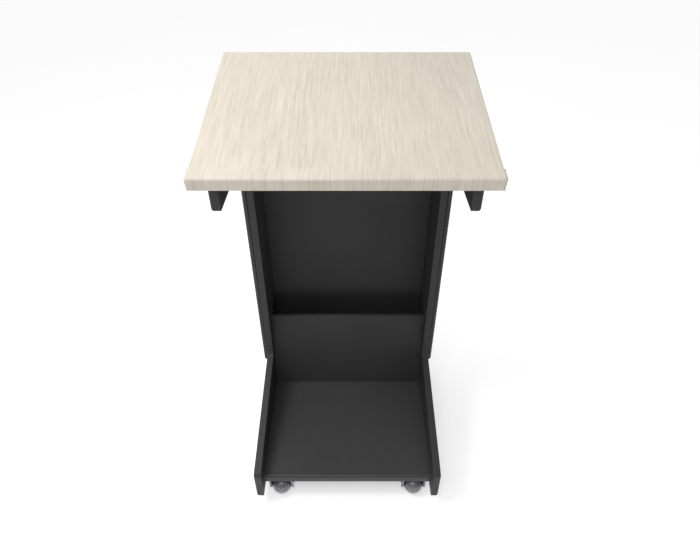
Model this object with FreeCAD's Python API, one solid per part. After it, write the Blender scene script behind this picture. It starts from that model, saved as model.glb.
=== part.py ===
import FreeCAD, Part
import math
import os

# Mobile lectern stand, millimetres.
# Frame: +Z up from the floor, +Y away from the speaker, +X to the speaker's right.
# Origin: on the floor, at the middle of the footprint.

# ---- overall sizes ----
STAND_DEPTH = 584.0
INNER_WIDTH = 514.0
FOOT_CLEARANCE = 40.0
RAKE_DEG = 12.5

# ---- reading top ----
BOARD_SIDE_OVERHANG = 26.0
BOARD_THICKNESS = 20.0
BOARD_FRONT_SETBACK = 21.6
BOARD_REAR_SETBACK = 78.2
BOARD_FRONT_HEIGHT = 1081.0
BOARD_TOP_ROUND = 4.0
BOARD_UNDER_ROUND = 2.0
STOP_DEPTH = 33.0
STOP_RAISE = 8.0
STOP_FRONT_ROUND = 7.0
STOP_BACK_ROUND = 2.5
STOP_CORNER_ROUND = 8.0
STOP_UNDER_ROUND = 1.5

# ---- side panels: arm, column and foot cut from one sheet ----
SIDE_THICKNESS = 22.0
SIDE_EDGE_ROUND = 6.0
COLUMN_DEPTH = 173.0
CREST_SETBACK = 97.8
WAIST_HEIGHT = 237.0
WAIST_ROUND = 20.0
ARM_SETBACK = 72.5
ARM_DROP = 74.0
ARM_ROOT_ROUND = 40.0
FOOT_TOP_ROUND = 12.0
REAR_TOP_ROUND = 25.0
REAR_BOTTOM_ROUND = 12.0
FUSE_LAP = 30.0

# ---- column covers ----
COVER_THICKNESS = 12.0
COVER_LAP = 31.0
COVER_EDGE_ROUND = 8.0
COVER_CORNER_ROUND = 9.0

# ---- panels between the sides ----
PANEL_THICKNESS = 20.0
BACK_PANEL_INSET = 6.0
SHELF_THICKNESS = 28.0
SHELF_SETBACK = 24.5
SHELF_TOP_ROUND = 8.0
SHELF_UNDER_ROUND = 4.0
POCKET_FORWARD = 8.0
POCKET_RISE = 265.0
POCKET_TOP_ROUND = 8.0
CAP_OVERLAP = 102.0
CAP_DROP = 2.0
CAP_EDGE_ROUND = 2.0

# ---- panel fasteners ----
DOWEL_RADIUS = 4.0
DOWEL_LENGTH = 34.0
DOWEL_SIDE_DEPTH = 12.0
STOP_DOWEL_LENGTH = 30.0
STOP_DOWEL_COUNT = 5
STOP_DOWEL_INSET = 35.0
PANEL_SCREW_RADIUS = 3.0
PANEL_SCREW_HEAD_RADIUS = 5.0
PANEL_SCREW_LENGTH = 60.0
SCREW_TIP = 2.0
SCREW_TIP_RADIUS = 0.8
SOCKET_WALL = 1.0
SOCKET_FLOOR = 0.5
SHELF_JOINT_COUNT = 7
SHELF_JOINT_INSET = 40.0
BACK_JOINT_COUNT = 9
BACK_JOINT_INSET = 60.0
POCKET_JOINT_COUNT = 3
POCKET_JOINT_INSET = 30.0
CAP_JOINT_COUNT = 3
CAP_JOINT_INSET = 18.0
SCREW_CAP_RADIUS = 6.5
SCREW_CAP_HEIGHT = 1.4
COVER_SCREW_RADIUS = 2.0
COVER_SCREW_HEAD_RADIUS = 3.8
COVER_SCREW_BITE = 7.0
COVER_SCREW_ROWS = 4
COVER_SCREW_ROW_INSET = 60.0
COVER_SCREW_EDGE = 28.0

# ---- brackets under the reading top ----
BRACKET_LEG = 40.0
BRACKET_WIDTH = 24.0
BRACKET_THICKNESS = 2.5
BRACKET_BEND_ROUND = 2.0
BRACKET_COUNT = 3
BRACKET_INSET = 60.0
BRACKET_SCREW_RADIUS = 2.0
BRACKET_SCREW_HEAD_RADIUS = 4.2
BRACKET_SCREW_HEAD_HEIGHT = 2.2
BRACKET_SCREW_LENGTH = 14.0
BRACKET_HOLE_CLEARANCE = 0.25
BRACKET_SCREW_OFFSETS = (14.0, 31.0)

# ---- casters ----
SWING_SIDE_GAP = 2.0
SWING_END_GAP = 15.6
WHEEL_RADIUS = 30.0
WHEEL_CHEEK_CUT = 1.5
TREAD_HALF_WIDTH = 15.0
TREAD_THICKNESS = 5.0
HUB_BOSS_RADIUS = 8.0
HUB_BOSS_GAP = 0.3
TRAIL = 17.0
FORK_SIDE_GAP = 2.0
FORK_THICKNESS = 6.0
FORK_CROWN_THICKNESS = 3.0
FORK_CROWN_RADIUS = 19.0
FORK_LEG_TOP_WIDTH = 28.0
FORK_LEG_END_RADIUS = 11.0
FORK_OUTER_ROUND = 2.0
WHEEL_TOP_CLEARANCE = 3.5
AXLE_RADIUS = 4.0
AXLE_HEAD_RADIUS = 6.5
AXLE_HEAD_HEIGHT = 2.5
AXLE_HEAD_ROUND = 1.5
RUNNING_CLEARANCE = 0.08
PLATE_SIZE = 60.0
PLATE_THICKNESS = 3.0
PLATE_CORNER_ROUND = 7.0
PLATE_HOLE_SPACING = 46.0
PLATE_SCREW_RADIUS = 2.5
PLATE_SCREW_HEAD_RADIUS = 4.8
PLATE_SCREW_HEAD_HEIGHT = 2.4
PLATE_SCREW_LENGTH = 20.0
PLATE_HOLE_CLEARANCE = 0.3
RACE_RADIUS = 17.0
RACE_HEIGHT = 3.5
BALL_COUNT = 12
BALL_RADIUS = 1.5
BALL_CIRCLE_RADIUS = 12.0
BALL_GAP = 0.15
RACE_GAP = 2.0
KINGPIN_RADIUS = 4.0
KINGPIN_HEAD_RADIUS = 7.0
KINGPIN_HEAD_HEIGHT = 2.6
KINGPIN_GAP = 0.3

# ---- values that follow from the sizes above ----
RAKE = math.radians(RAKE_DEG)
RAKE_SLOPE = math.tan(RAKE)
FRONT_Y = -STAND_DEPTH / 2.0
REAR_Y = STAND_DEPTH / 2.0
COLUMN_FRONT_Y = REAR_Y - COLUMN_DEPTH
CREST_Y = REAR_Y - CREST_SETBACK
INNER_X = INNER_WIDTH / 2.0
SIDE_OUTER_X = INNER_X + SIDE_THICKNESS
COVER_OUTER_X = SIDE_OUTER_X + COVER_THICKNESS
BOARD_HALF_WIDTH = SIDE_OUTER_X + BOARD_SIDE_OVERHANG
BOARD_FRONT_Y = FRONT_Y + BOARD_FRONT_SETBACK
ARM_FRONT_Y = FRONT_Y + ARM_SETBACK
ARM_UNDER_Z = BOARD_FRONT_HEIGHT - ARM_DROP
TOP_LENGTH = (REAR_Y - BOARD_REAR_SETBACK - BOARD_FRONT_Y) / math.cos(RAKE)
BOARD_LENGTH = TOP_LENGTH - STOP_DEPTH
STOP_HEIGHT = BOARD_THICKNESS + STOP_RAISE
COLUMN_TOP_Z = BOARD_FRONT_HEIGHT + (CREST_Y - BOARD_FRONT_Y) * RAKE_SLOPE
COVER_BOTTOM_Z = WAIST_HEIGHT - COVER_LAP
COVER_SCREW_LENGTH = SIDE_THICKNESS + COVER_SCREW_BITE
WHEEL_HALF_WIDTH = WHEEL_RADIUS - WHEEL_CHEEK_CUT
FORK_GAP_HALF = WHEEL_HALF_WIDTH + FORK_SIDE_GAP
FORK_OUTER_X = FORK_GAP_HALF + FORK_THICKNESS
CROWN_UNDER_Z = 2.0 * WHEEL_RADIUS + WHEEL_TOP_CLEARANCE
CROWN_TOP_Z = CROWN_UNDER_Z + FORK_CROWN_THICKNESS
RACE_UNDER_Z = CROWN_TOP_Z + RACE_GAP
PLATE_UNDER_Z = RACE_UNDER_Z + RACE_HEIGHT
SHELF_UNDER_Z = PLATE_UNDER_Z + PLATE_THICKNESS
SHELF_TOP_Z = SHELF_UNDER_Z + SHELF_THICKNESS
BALL_CENTRE_Z = CROWN_TOP_Z + BALL_GAP + BALL_RADIUS
FORK_SWING = math.hypot(FORK_OUTER_X, TRAIL + FORK_LEG_TOP_WIDTH / 2.0)
CASTER_SWING = max(FORK_SWING, TRAIL + WHEEL_RADIUS)
CASTER_X = INNER_X - CASTER_SWING - SWING_SIDE_GAP
CASTER_SETBACK = CASTER_SWING + SWING_END_GAP
BACK_PANEL_REAR_Y = REAR_Y - BACK_PANEL_INSET
BACK_PANEL_FRONT_Y = BACK_PANEL_REAR_Y - PANEL_THICKNESS
SHELF_FRONT_Y = FRONT_Y + SHELF_SETBACK
POCKET_FOOT_Y = COLUMN_FRONT_Y - POCKET_FORWARD
POCKET_TOP_Z = SHELF_TOP_Z + POCKET_RISE
POCKET_LEVEL_THICKNESS = PANEL_THICKNESS / math.cos(RAKE)
CAP_TOP_Z = COLUMN_TOP_Z - CAP_DROP
CAP_UNDER_Z = CAP_TOP_Z - PANEL_THICKNESS
CAP_FRONT_Y = REAR_Y - CAP_OVERLAP

# points nearer to each other than this are one place
SAME_PLACE = 1e-4

X_AXIS = FreeCAD.Vector(1, 0, 0)
Y_AXIS = FreeCAD.Vector(0, 1, 0)
Z_AXIS = FreeCAD.Vector(0, 0, 1)
ORIGIN = FreeCAD.Vector(0, 0, 0)


# ---- helpers ----
def vec(x, y, z):
    return FreeCAD.Vector(x, y, z)


def spread(start, end, count, inset):
    """Evenly spaced positions between two ends, kept in from both by inset."""
    first = start + inset
    step = (end - inset - first) / (count - 1)
    return [first + step * i for i in range(count)]


def board_underside_z(y):
    """Height of the reading top's underside at depth y."""
    return BOARD_FRONT_HEIGHT + (y - BOARD_FRONT_Y) * RAKE_SLOPE


def foot_top_z(y):
    """Height of the foot's raked top edge at depth y."""
    return WAIST_HEIGHT + (y - COLUMN_FRONT_Y) * RAKE_SLOPE


def rounded_wire(corners):
    """Closed wire in the YZ plane from (y, z, radius) corners; radius 0 stays sharp."""
    edges = []
    ends = []
    count = len(corners)
    for i, (y, z, radius) in enumerate(corners):
        here = vec(0, y, z)
        before = vec(0, corners[i - 1][0], corners[i - 1][1]) - here
        after_corner = corners[(i + 1) % count]
        after = vec(0, after_corner[0], after_corner[1]) - here
        before.normalize()
        after.normalize()
        if radius <= 0:
            ends.append((here, here))
            continue
        half = before.getAngle(after) / 2.0
        reach = radius / math.tan(half)
        towards = before + after
        towards.normalize()
        middle = here + towards * (radius / math.sin(half) - radius)
        start = here + before * reach
        stop = here + after * reach
        edges.append(Part.Arc(start, middle, stop).toShape())
        ends.append((start, stop))
    for i in range(count):
        leaving = ends[i][1]
        arriving = ends[(i + 1) % count][0]
        if leaving.distanceToPoint(arriving) > SAME_PLACE:
            edges.append(Part.LineSegment(leaving, arriving).toShape())
    return Part.Wire(Part.__sortEdges__(edges))


def sheet_x(corners, x_from, x_to):
    """Flat sheet standing in the YZ plane, extruded along X."""
    face = Part.Face(rounded_wire(corners))
    face.translate(vec(x_from, 0, 0))
    return face.extrude(vec(x_to - x_from, 0, 0))


def edges_where(shape, test):
    """Edges whose every sample point passes the test."""
    chosen = []
    for edge in shape.Edges:
        points = [v.Point for v in edge.Vertexes]
        points.append(edge.CenterOfMass)
        if all(test(p) for p in points):
            chosen.append(edge)
    return chosen


def mirror_x(shape):
    return shape.mirror(ORIGIN, X_AXIS)


def both_sides(shape):
    return [shape, mirror_x(shape)]


def rake_to_place(shape):
    """Carry a shape from the reading top's flat frame to its raked place."""
    placed = shape.copy()
    placed.rotate(ORIGIN, X_AXIS, RAKE_DEG)
    placed.translate(vec(0, BOARD_FRONT_Y, BOARD_FRONT_HEIGHT))
    return placed


def socket_tool(at, direction, radius, head_height):
    """Hexagon socket cut into a screw head from its outer face."""
    reach = (radius - SOCKET_WALL) / math.cos(math.radians(30))
    turns = [math.radians(60 * i) for i in range(7)]
    outline = Part.makePolygon([vec(reach * math.cos(turn), reach * math.sin(turn), 0) for turn in turns])
    prism = Part.Face(outline).extrude(vec(0, 0, head_height - SOCKET_FLOOR))
    prism.Placement = FreeCAD.Placement(at, FreeCAD.Rotation(Z_AXIS, direction))
    return prism


def screw_shank(at, direction, radius, length):
    """Shank of a screw with its tip, from 'at' along direction."""
    shank = Part.makeCylinder(radius, length - SCREW_TIP, at, direction)
    tip_at = at + direction * (length - SCREW_TIP)
    return shank.fuse(Part.makeCone(radius, SCREW_TIP_RADIUS, SCREW_TIP, tip_at, direction))


def sunk_screw_tool(at, direction, radius, head_radius, length):
    """Countersunk screw envelope: head face at 'at', shank along direction."""
    head = Part.makeCone(head_radius, radius, head_radius - radius, at, direction)
    return head.fuse(screw_shank(at, direction, radius, length)).removeSplitter()


def sunk_screw(at, direction, radius, head_radius, length):
    envelope = sunk_screw_tool(at, direction, radius, head_radius, length)
    return envelope.cut(socket_tool(at, direction, radius, head_radius - radius))


def pan_screw(at, direction, radius, head_radius, head_height, length):
    """Pan-head screw whose head seats at 'at' and whose shank runs along direction."""
    head_at = at - direction * head_height
    head = Part.makeCylinder(head_radius, head_height, head_at, direction)
    rim = [e for e in head.Edges if abs((e.CenterOfMass - head_at).dot(direction)) < SAME_PLACE
           and e.Curve.TypeId == "Part::GeomCircle"]
    head = head.makeFillet(head_height / 2.0, rim)
    whole = head.fuse(screw_shank(at, direction, radius, length)).removeSplitter()
    return whole.cut(socket_tool(head_at, direction, radius, head_height))


def export(name, solids):
    """Write one node; several identical pieces share a node as separate solids."""
    shape = solids[0] if len(solids) == 1 else Part.makeCompound(solids)
    for solid in shape.Solids:
        if not solid.isValid():
            raise ValueError("invalid solid in " + name)
    shape.exportStep(os.path.join("parts", name + ".step"))
    print(name, len(shape.Solids), round(shape.Volume / 1000.0, 2), "cm3")


# ---- where the panels are joined to the side panels, as (y, z) on the sheet ----
def shelf_joints():
    z = SHELF_UNDER_Z + SHELF_THICKNESS / 2.0
    stations = spread(SHELF_FRONT_Y, BACK_PANEL_FRONT_Y, SHELF_JOINT_COUNT, SHELF_JOINT_INSET)
    return [(y, z) for y in stations]


def back_joints():
    y = (BACK_PANEL_FRONT_Y + BACK_PANEL_REAR_Y) / 2.0
    stations = spread(COVER_BOTTOM_Z, CAP_UNDER_Z, BACK_JOINT_COUNT, BACK_JOINT_INSET)
    return [(y, z) for z in stations]


def pocket_joints():
    stations = spread(SHELF_TOP_Z, POCKET_TOP_Z, POCKET_JOINT_COUNT, POCKET_JOINT_INSET)
    middle = POCKET_FOOT_Y + POCKET_LEVEL_THICKNESS / 2.0
    return [(middle + (z - SHELF_TOP_Z) * RAKE_SLOPE, z) for z in stations]


def cap_joints():
    z = (CAP_UNDER_Z + CAP_TOP_Z) / 2.0
    stations = spread(CAP_FRONT_Y, BACK_PANEL_REAR_Y, CAP_JOINT_COUNT, CAP_JOINT_INSET)
    return [(y, z) for y in stations]


def dowel_stations(joints):
    return joints[0::2]


def screw_stations(joints):
    return joints[1::2]


def dowels(joints):
    """Dowels of one panel on the right-hand side."""
    start = INNER_X + DOWEL_SIDE_DEPTH - DOWEL_LENGTH
    return [Part.makeCylinder(DOWEL_RADIUS, DOWEL_LENGTH, vec(start, y, z), X_AXIS)
            for y, z in dowel_stations(joints)]


def panel_screw_tools(joints):
    return [sunk_screw_tool(vec(SIDE_OUTER_X, y, z), -X_AXIS, PANEL_SCREW_RADIUS,
                            PANEL_SCREW_HEAD_RADIUS, PANEL_SCREW_LENGTH)
            for y, z in screw_stations(joints)]


def panel_screws(joints):
    return [sunk_screw(vec(SIDE_OUTER_X, y, z), -X_AXIS, PANEL_SCREW_RADIUS,
                       PANEL_SCREW_HEAD_RADIUS, PANEL_SCREW_LENGTH)
            for y, z in screw_stations(joints)]


def all_joints():
    return [shelf_joints(), back_joints(), pocket_joints(), cap_joints()]


def cover_screw_points():
    columns = (COLUMN_FRONT_Y + COVER_SCREW_EDGE, BACK_PANEL_FRONT_Y - COVER_SCREW_EDGE)
    rows = spread(POCKET_TOP_Z, CAP_UNDER_Z, COVER_SCREW_ROWS, COVER_SCREW_ROW_INSET)
    return [vec(INNER_X, y, z) for y in columns for z in rows]


def cover_screw_tools():
    return [sunk_screw_tool(at, X_AXIS, COVER_SCREW_RADIUS, COVER_SCREW_HEAD_RADIUS,
                            COVER_SCREW_LENGTH) for at in cover_screw_points()]


def cover_screws():
    return [sunk_screw(at, X_AXIS, COVER_SCREW_RADIUS, COVER_SCREW_HEAD_RADIUS,
                       COVER_SCREW_LENGTH) for at in cover_screw_points()]


# ---- brackets, in the reading top's flat frame (y along the top, z out of it) ----
def bracket_stations():
    """Places along the stretch of the top that lies on the arms and columns."""
    start = (ARM_FRONT_Y - BOARD_FRONT_Y) / math.cos(RAKE)
    end = min((CREST_Y - BOARD_FRONT_Y) / math.cos(RAKE), TOP_LENGTH)
    return spread(start, end, BRACKET_COUNT, BRACKET_INSET)


def bracket_screw_places(station):
    """Places along the bracket's width and leg, one row of two on each leg."""
    return [(station + side * BRACKET_WIDTH / 4.0, offset)
            for side, offset in zip((-1, 1), BRACKET_SCREW_OFFSETS)]


def board_screw_seats():
    seats = []
    for station in bracket_stations():
        for along, offset in bracket_screw_places(station):
            seats.append(vec(INNER_X - offset, along, -BRACKET_THICKNESS))
    return seats


def side_screw_seats():
    seats = []
    for station in bracket_stations():
        for along, offset in bracket_screw_places(station):
            seats.append(vec(INNER_X - BRACKET_THICKNESS, along, -offset))
    return seats


def bracket_at(station):
    """Steel angle between the arm's inner face and the reading top's underside."""
    low = station - BRACKET_WIDTH / 2.0
    upper = Part.makeBox(BRACKET_LEG, BRACKET_WIDTH, BRACKET_THICKNESS,
                         vec(INNER_X - BRACKET_LEG, low, -BRACKET_THICKNESS))
    lower = Part.makeBox(BRACKET_THICKNESS, BRACKET_WIDTH, BRACKET_LEG,
                         vec(INNER_X - BRACKET_THICKNESS, low, -BRACKET_LEG))
    angle = upper.fuse(lower).removeSplitter()
    inner_bend = edges_where(
        angle, lambda p: abs(p.x - (INNER_X - BRACKET_THICKNESS)) < SAME_PLACE
        and abs(p.z + BRACKET_THICKNESS) < SAME_PLACE)
    angle = angle.makeFillet(BRACKET_BEND_ROUND, inner_bend)
    hole = BRACKET_SCREW_RADIUS + BRACKET_HOLE_CLEARANCE
    for along, offset in bracket_screw_places(station):
        up_hole = Part.makeCylinder(hole, BRACKET_THICKNESS,
                                    vec(INNER_X - offset, along, -BRACKET_THICKNESS), Z_AXIS)
        side_hole = Part.makeCylinder(hole, BRACKET_THICKNESS,
                                      vec(INNER_X - BRACKET_THICKNESS, along, -offset), X_AXIS)
        angle = angle.cut([up_hole, side_hole])
    return angle


def board_brackets():
    pieces = []
    for station in bracket_stations():
        pieces += both_sides(rake_to_place(bracket_at(station)))
    return pieces


def bracket_board_screws():
    pieces = []
    for seat in board_screw_seats():
        screw = pan_screw(seat, Z_AXIS, BRACKET_SCREW_RADIUS, BRACKET_SCREW_HEAD_RADIUS,
                          BRACKET_SCREW_HEAD_HEIGHT, BRACKET_SCREW_LENGTH)
        pieces += both_sides(rake_to_place(screw))
    return pieces


def bracket_panel_screws():
    pieces = []
    for seat in side_screw_seats():
        screw = pan_screw(seat, X_AXIS, BRACKET_SCREW_RADIUS, BRACKET_SCREW_HEAD_RADIUS,
                          BRACKET_SCREW_HEAD_HEIGHT, BRACKET_SCREW_LENGTH)
        pieces += both_sides(rake_to_place(screw))
    return pieces


# ---- reading top ----
def stop_dowel_shapes():
    """Dowels between the book stop and the board, in the flat frame."""
    start = STOP_DEPTH - STOP_DOWEL_LENGTH / 2.0
    stations = spread(-BOARD_HALF_WIDTH, BOARD_HALF_WIDTH, STOP_DOWEL_COUNT, STOP_DOWEL_INSET)
    return [Part.makeCylinder(DOWEL_RADIUS, STOP_DOWEL_LENGTH, vec(x, start, BOARD_THICKNESS / 2.0), Y_AXIS)
            for x in stations]


def on_board_rim(height):
    """Test for the board's edges at one height, apart from the one at the book stop."""

    def test(p):
        on_level = abs(p.z - height) < SAME_PLACE
        on_side = abs(abs(p.x) - BOARD_HALF_WIDTH) < SAME_PLACE
        return on_level and (on_side or p.y > TOP_LENGTH - SAME_PLACE)

    return test


def top_board():
    """Reading board behind the book stop, its free edges softened."""
    board = Part.makeBox(2.0 * BOARD_HALF_WIDTH, BOARD_LENGTH, BOARD_THICKNESS,
                         vec(-BOARD_HALF_WIDTH, STOP_DEPTH, 0))
    board = board.makeFillet(BOARD_TOP_ROUND, edges_where(board, on_board_rim(BOARD_THICKNESS)))
    board = board.makeFillet(BOARD_UNDER_ROUND, edges_where(board, on_board_rim(0.0)))
    pilots = []
    for seat in board_screw_seats():
        shank = screw_shank(seat, Z_AXIS, BRACKET_SCREW_RADIUS, BRACKET_SCREW_LENGTH)
        pilots += both_sides(shank)
    board = board.cut(pilots + stop_dowel_shapes())
    return [rake_to_place(board)]


def book_stop():
    """Raised strip that keeps papers from sliding off the front."""
    half = BOARD_HALF_WIDTH
    strip = Part.makeBox(2.0 * half, STOP_DEPTH, STOP_HEIGHT, vec(-half, 0, 0))
    upright = edges_where(strip, lambda p: p.y < SAME_PLACE and abs(abs(p.x) - half) < SAME_PLACE)
    strip = strip.makeFillet(STOP_CORNER_ROUND, upright)
    back = edges_where(
        strip, lambda p: p.z > STOP_HEIGHT - SAME_PLACE and p.y > STOP_DEPTH - SAME_PLACE)
    strip = strip.makeFillet(STOP_BACK_ROUND, back)
    flat_end = STOP_DEPTH - STOP_BACK_ROUND
    front = [e for e in edges_where(strip, lambda p: p.z > STOP_HEIGHT - SAME_PLACE)
             if e.CenterOfMass.y < flat_end - SAME_PLACE]
    strip = strip.makeFillet(STOP_FRONT_ROUND, front)
    under = [e for e in edges_where(strip, lambda p: p.z < SAME_PLACE)
             if e.CenterOfMass.y < STOP_DEPTH - SAME_PLACE]
    strip = strip.makeFillet(STOP_UNDER_ROUND, under)
    return [rake_to_place(strip.cut(stop_dowel_shapes()))]


# ---- side panels ----
def column_sheet(bottom_z, front_round, rear_round, x_from, x_to):
    """Sheet of the column's outline, its top following the reading top and then level."""
    return sheet_x([
        (COLUMN_FRONT_Y, bottom_z, front_round),
        (COLUMN_FRONT_Y, board_underside_z(COLUMN_FRONT_Y), 0),
        (CREST_Y, COLUMN_TOP_Z, 0),
        (REAR_Y, COLUMN_TOP_Z, REAR_TOP_ROUND),
        (REAR_Y, bottom_z, rear_round),
    ], x_from, x_to)


def foot_sheet():
    """Forward foot, its raked top running into the column through a round."""
    lap_y = COLUMN_FRONT_Y + FUSE_LAP
    return sheet_x([
        (FRONT_Y, FOOT_CLEARANCE, 0),
        (FRONT_Y, foot_top_z(FRONT_Y), FOOT_TOP_ROUND),
        (COLUMN_FRONT_Y, WAIST_HEIGHT, WAIST_ROUND),
        (COLUMN_FRONT_Y, WAIST_HEIGHT + 2.0 * WAIST_ROUND, 0),
        (lap_y, WAIST_HEIGHT + 2.0 * WAIST_ROUND, 0),
        (lap_y, FOOT_CLEARANCE, 0),
    ], INNER_X, SIDE_OUTER_X)


def arm_sheet():
    """Forward arm that carries the reading top."""
    lap_y = COLUMN_FRONT_Y + FUSE_LAP
    return sheet_x([
        (ARM_FRONT_Y, ARM_UNDER_Z, 0),
        (ARM_FRONT_Y, board_underside_z(ARM_FRONT_Y), 0),
        (lap_y, board_underside_z(lap_y), 0),
        (lap_y, ARM_UNDER_Z - 2.0 * ARM_ROOT_ROUND, 0),
        (COLUMN_FRONT_Y, ARM_UNDER_Z - 2.0 * ARM_ROOT_ROUND, 0),
        (COLUMN_FRONT_Y, ARM_UNDER_Z, ARM_ROOT_ROUND),
    ], INNER_X, SIDE_OUTER_X)


def ahead_of_column(sheet):
    """The part of a sheet that stands forward of the column's front face."""
    box = sheet.BoundBox
    behind = Part.makeBox(box.XLength, box.YLength, box.ZLength, vec(box.XMin, COLUMN_FRONT_Y, box.ZMin))
    return sheet.cut(behind)


def is_top_edge(edge):
    """True for an edge along the underside of the reading top."""
    return all(abs(v.Z - board_underside_z(v.Y)) < SAME_PLACE for v in edge.Vertexes)


def is_column_front(edge):
    """True for an edge in the plane of the column's front face."""
    return abs(edge.CenterOfMass.y - COLUMN_FRONT_Y) < SAME_PLACE


def soften_outside(sheet, x, radius, keep_front_sharp):
    """Round a sheet's outer-face edges, apart from those under the reading top."""
    chosen = [e for e in edges_where(sheet, lambda p: abs(p.x - x) < SAME_PLACE)
              if not is_top_edge(e) and not (keep_front_sharp and is_column_front(e))]
    return sheet.makeFillet(radius, chosen)


def side_panel_right():
    """C-shaped sheet: foot, column and arm in one piece."""
    column = column_sheet(FOOT_CLEARANCE, 0, REAR_BOTTOM_ROUND, INNER_X, SIDE_OUTER_X)
    sheets = [column, ahead_of_column(foot_sheet()), ahead_of_column(arm_sheet())]
    softened = [soften_outside(sheet, SIDE_OUTER_X, SIDE_EDGE_ROUND, True) for sheet in sheets]
    panel = softened[0].fuse(softened[1:]).removeSplitter()
    tools = cover_screw_tools()
    for joints in all_joints():
        tools += panel_screw_tools(joints)
        tools += dowels(joints)
    for seat in side_screw_seats():
        tools.append(rake_to_place(
            screw_shank(seat, X_AXIS, BRACKET_SCREW_RADIUS, BRACKET_SCREW_LENGTH)))
    return panel.cut(tools)


def column_cover_right():
    """Outer layer on the column, ending above the foot."""
    cover = column_sheet(
        COVER_BOTTOM_Z, COVER_CORNER_ROUND, COVER_CORNER_ROUND, SIDE_OUTER_X, COVER_OUTER_X)
    cover = soften_outside(cover, COVER_OUTER_X, COVER_EDGE_ROUND, False)
    return cover.cut(cover_screw_tools())


# ---- panels between the sides ----
def cut_for_joints(panel, joints):
    tools = []
    for tool in dowels(joints) + panel_screw_tools(joints):
        tools += both_sides(tool)
    return panel.cut(tools)


def bottom_shelf():
    shelf = Part.makeBox(INNER_WIDTH, BACK_PANEL_FRONT_Y - SHELF_FRONT_Y, SHELF_THICKNESS,
                         vec(-INNER_X, SHELF_FRONT_Y, SHELF_UNDER_Z))
    for z, radius in ((SHELF_TOP_Z, SHELF_TOP_ROUND), (SHELF_UNDER_Z, SHELF_UNDER_ROUND)):
        front = edges_where(
            shelf, lambda p: p.y < SHELF_FRONT_Y + SAME_PLACE and abs(p.z - z) < SAME_PLACE)
        shelf = shelf.makeFillet(radius, front)
    shelf = cut_for_joints(shelf, shelf_joints())
    pilots = [screw_shank(seat, Z_AXIS, PLATE_SCREW_RADIUS, PLATE_SCREW_LENGTH)
              for seat in caster_screw_seats()]
    return [shelf.cut(pilots)]


def back_panel():
    panel = Part.makeBox(INNER_WIDTH, PANEL_THICKNESS, CAP_UNDER_Z - SHELF_UNDER_Z,
                         vec(-INNER_X, BACK_PANEL_FRONT_Y, SHELF_UNDER_Z))
    return [cut_for_joints(panel, back_joints())]


def pocket_panel():
    """Leaning panel with a rounded top; the space behind it is an open pocket."""
    lean = (POCKET_TOP_Z - SHELF_TOP_Z) * RAKE_SLOPE
    panel = sheet_x([
        (POCKET_FOOT_Y, SHELF_TOP_Z, 0),
        (POCKET_FOOT_Y + lean, POCKET_TOP_Z, POCKET_TOP_ROUND),
        (POCKET_FOOT_Y + lean + POCKET_LEVEL_THICKNESS, POCKET_TOP_Z, POCKET_TOP_ROUND),
        (POCKET_FOOT_Y + POCKET_LEVEL_THICKNESS, SHELF_TOP_Z, 0),
    ], -INNER_X, INNER_X)
    return [cut_for_joints(panel, pocket_joints())]


def top_rail():
    """Level rail that ties the side panels and closes the column behind the board."""
    rail = Part.makeBox(INNER_WIDTH, BACK_PANEL_REAR_Y - CAP_FRONT_Y, PANEL_THICKNESS,
                        vec(-INNER_X, CAP_FRONT_Y, CAP_UNDER_Z))
    rear = edges_where(rail, lambda p: p.y > BACK_PANEL_REAR_Y - SAME_PLACE and p.z > CAP_TOP_Z - SAME_PLACE)
    rail = rail.makeFillet(CAP_EDGE_ROUND, rear)
    return [cut_for_joints(rail, cap_joints())]


def joint_dowels(joints):
    pieces = []
    for dowel in dowels(joints):
        pieces += both_sides(dowel)
    return pieces


def all_panel_screws():
    pieces = []
    for joints in all_joints():
        for screw in panel_screws(joints):
            pieces += both_sides(screw)
    return pieces


def screw_caps():
    """Domed caps over the screws that no column cover hides."""
    pieces = []
    for y, z in screw_stations(shelf_joints()):
        cap = Part.makeCylinder(SCREW_CAP_RADIUS, SCREW_CAP_HEIGHT, vec(SIDE_OUTER_X, y, z), X_AXIS)
        rim = [e for e in cap.Edges
               if abs(e.CenterOfMass.x - SIDE_OUTER_X - SCREW_CAP_HEIGHT) < SAME_PLACE]
        pieces += both_sides(cap.makeFillet(SCREW_CAP_HEIGHT / 2.0, rim))
    return pieces


def all_cover_screws():
    pieces = []
    for screw in cover_screws():
        pieces += both_sides(screw)
    return pieces


# ---- casters: swivel axis at the local origin, wheel trailing towards the speaker ----
def caster_places():
    front = FRONT_Y + CASTER_SETBACK
    rear = REAR_Y - CASTER_SETBACK
    return {
        "front_left": vec(-CASTER_X, front, 0),
        "front_right": vec(CASTER_X, front, 0),
        "rear_left": vec(-CASTER_X, rear, 0),
        "rear_right": vec(CASTER_X, rear, 0),
    }


def plate_hole_points(z):
    half = PLATE_HOLE_SPACING / 2.0
    return [vec(i * half, j * half, z) for i in (-1, 1) for j in (-1, 1)]


def caster_screw_seats():
    return [place + seat for place in caster_places().values()
            for seat in plate_hole_points(PLATE_UNDER_Z)]


def caster_screws():
    return [pan_screw(seat, Z_AXIS, PLATE_SCREW_RADIUS, PLATE_SCREW_HEAD_RADIUS,
                      PLATE_SCREW_HEAD_HEIGHT, PLATE_SCREW_LENGTH)
            for seat in caster_screw_seats()]


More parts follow.
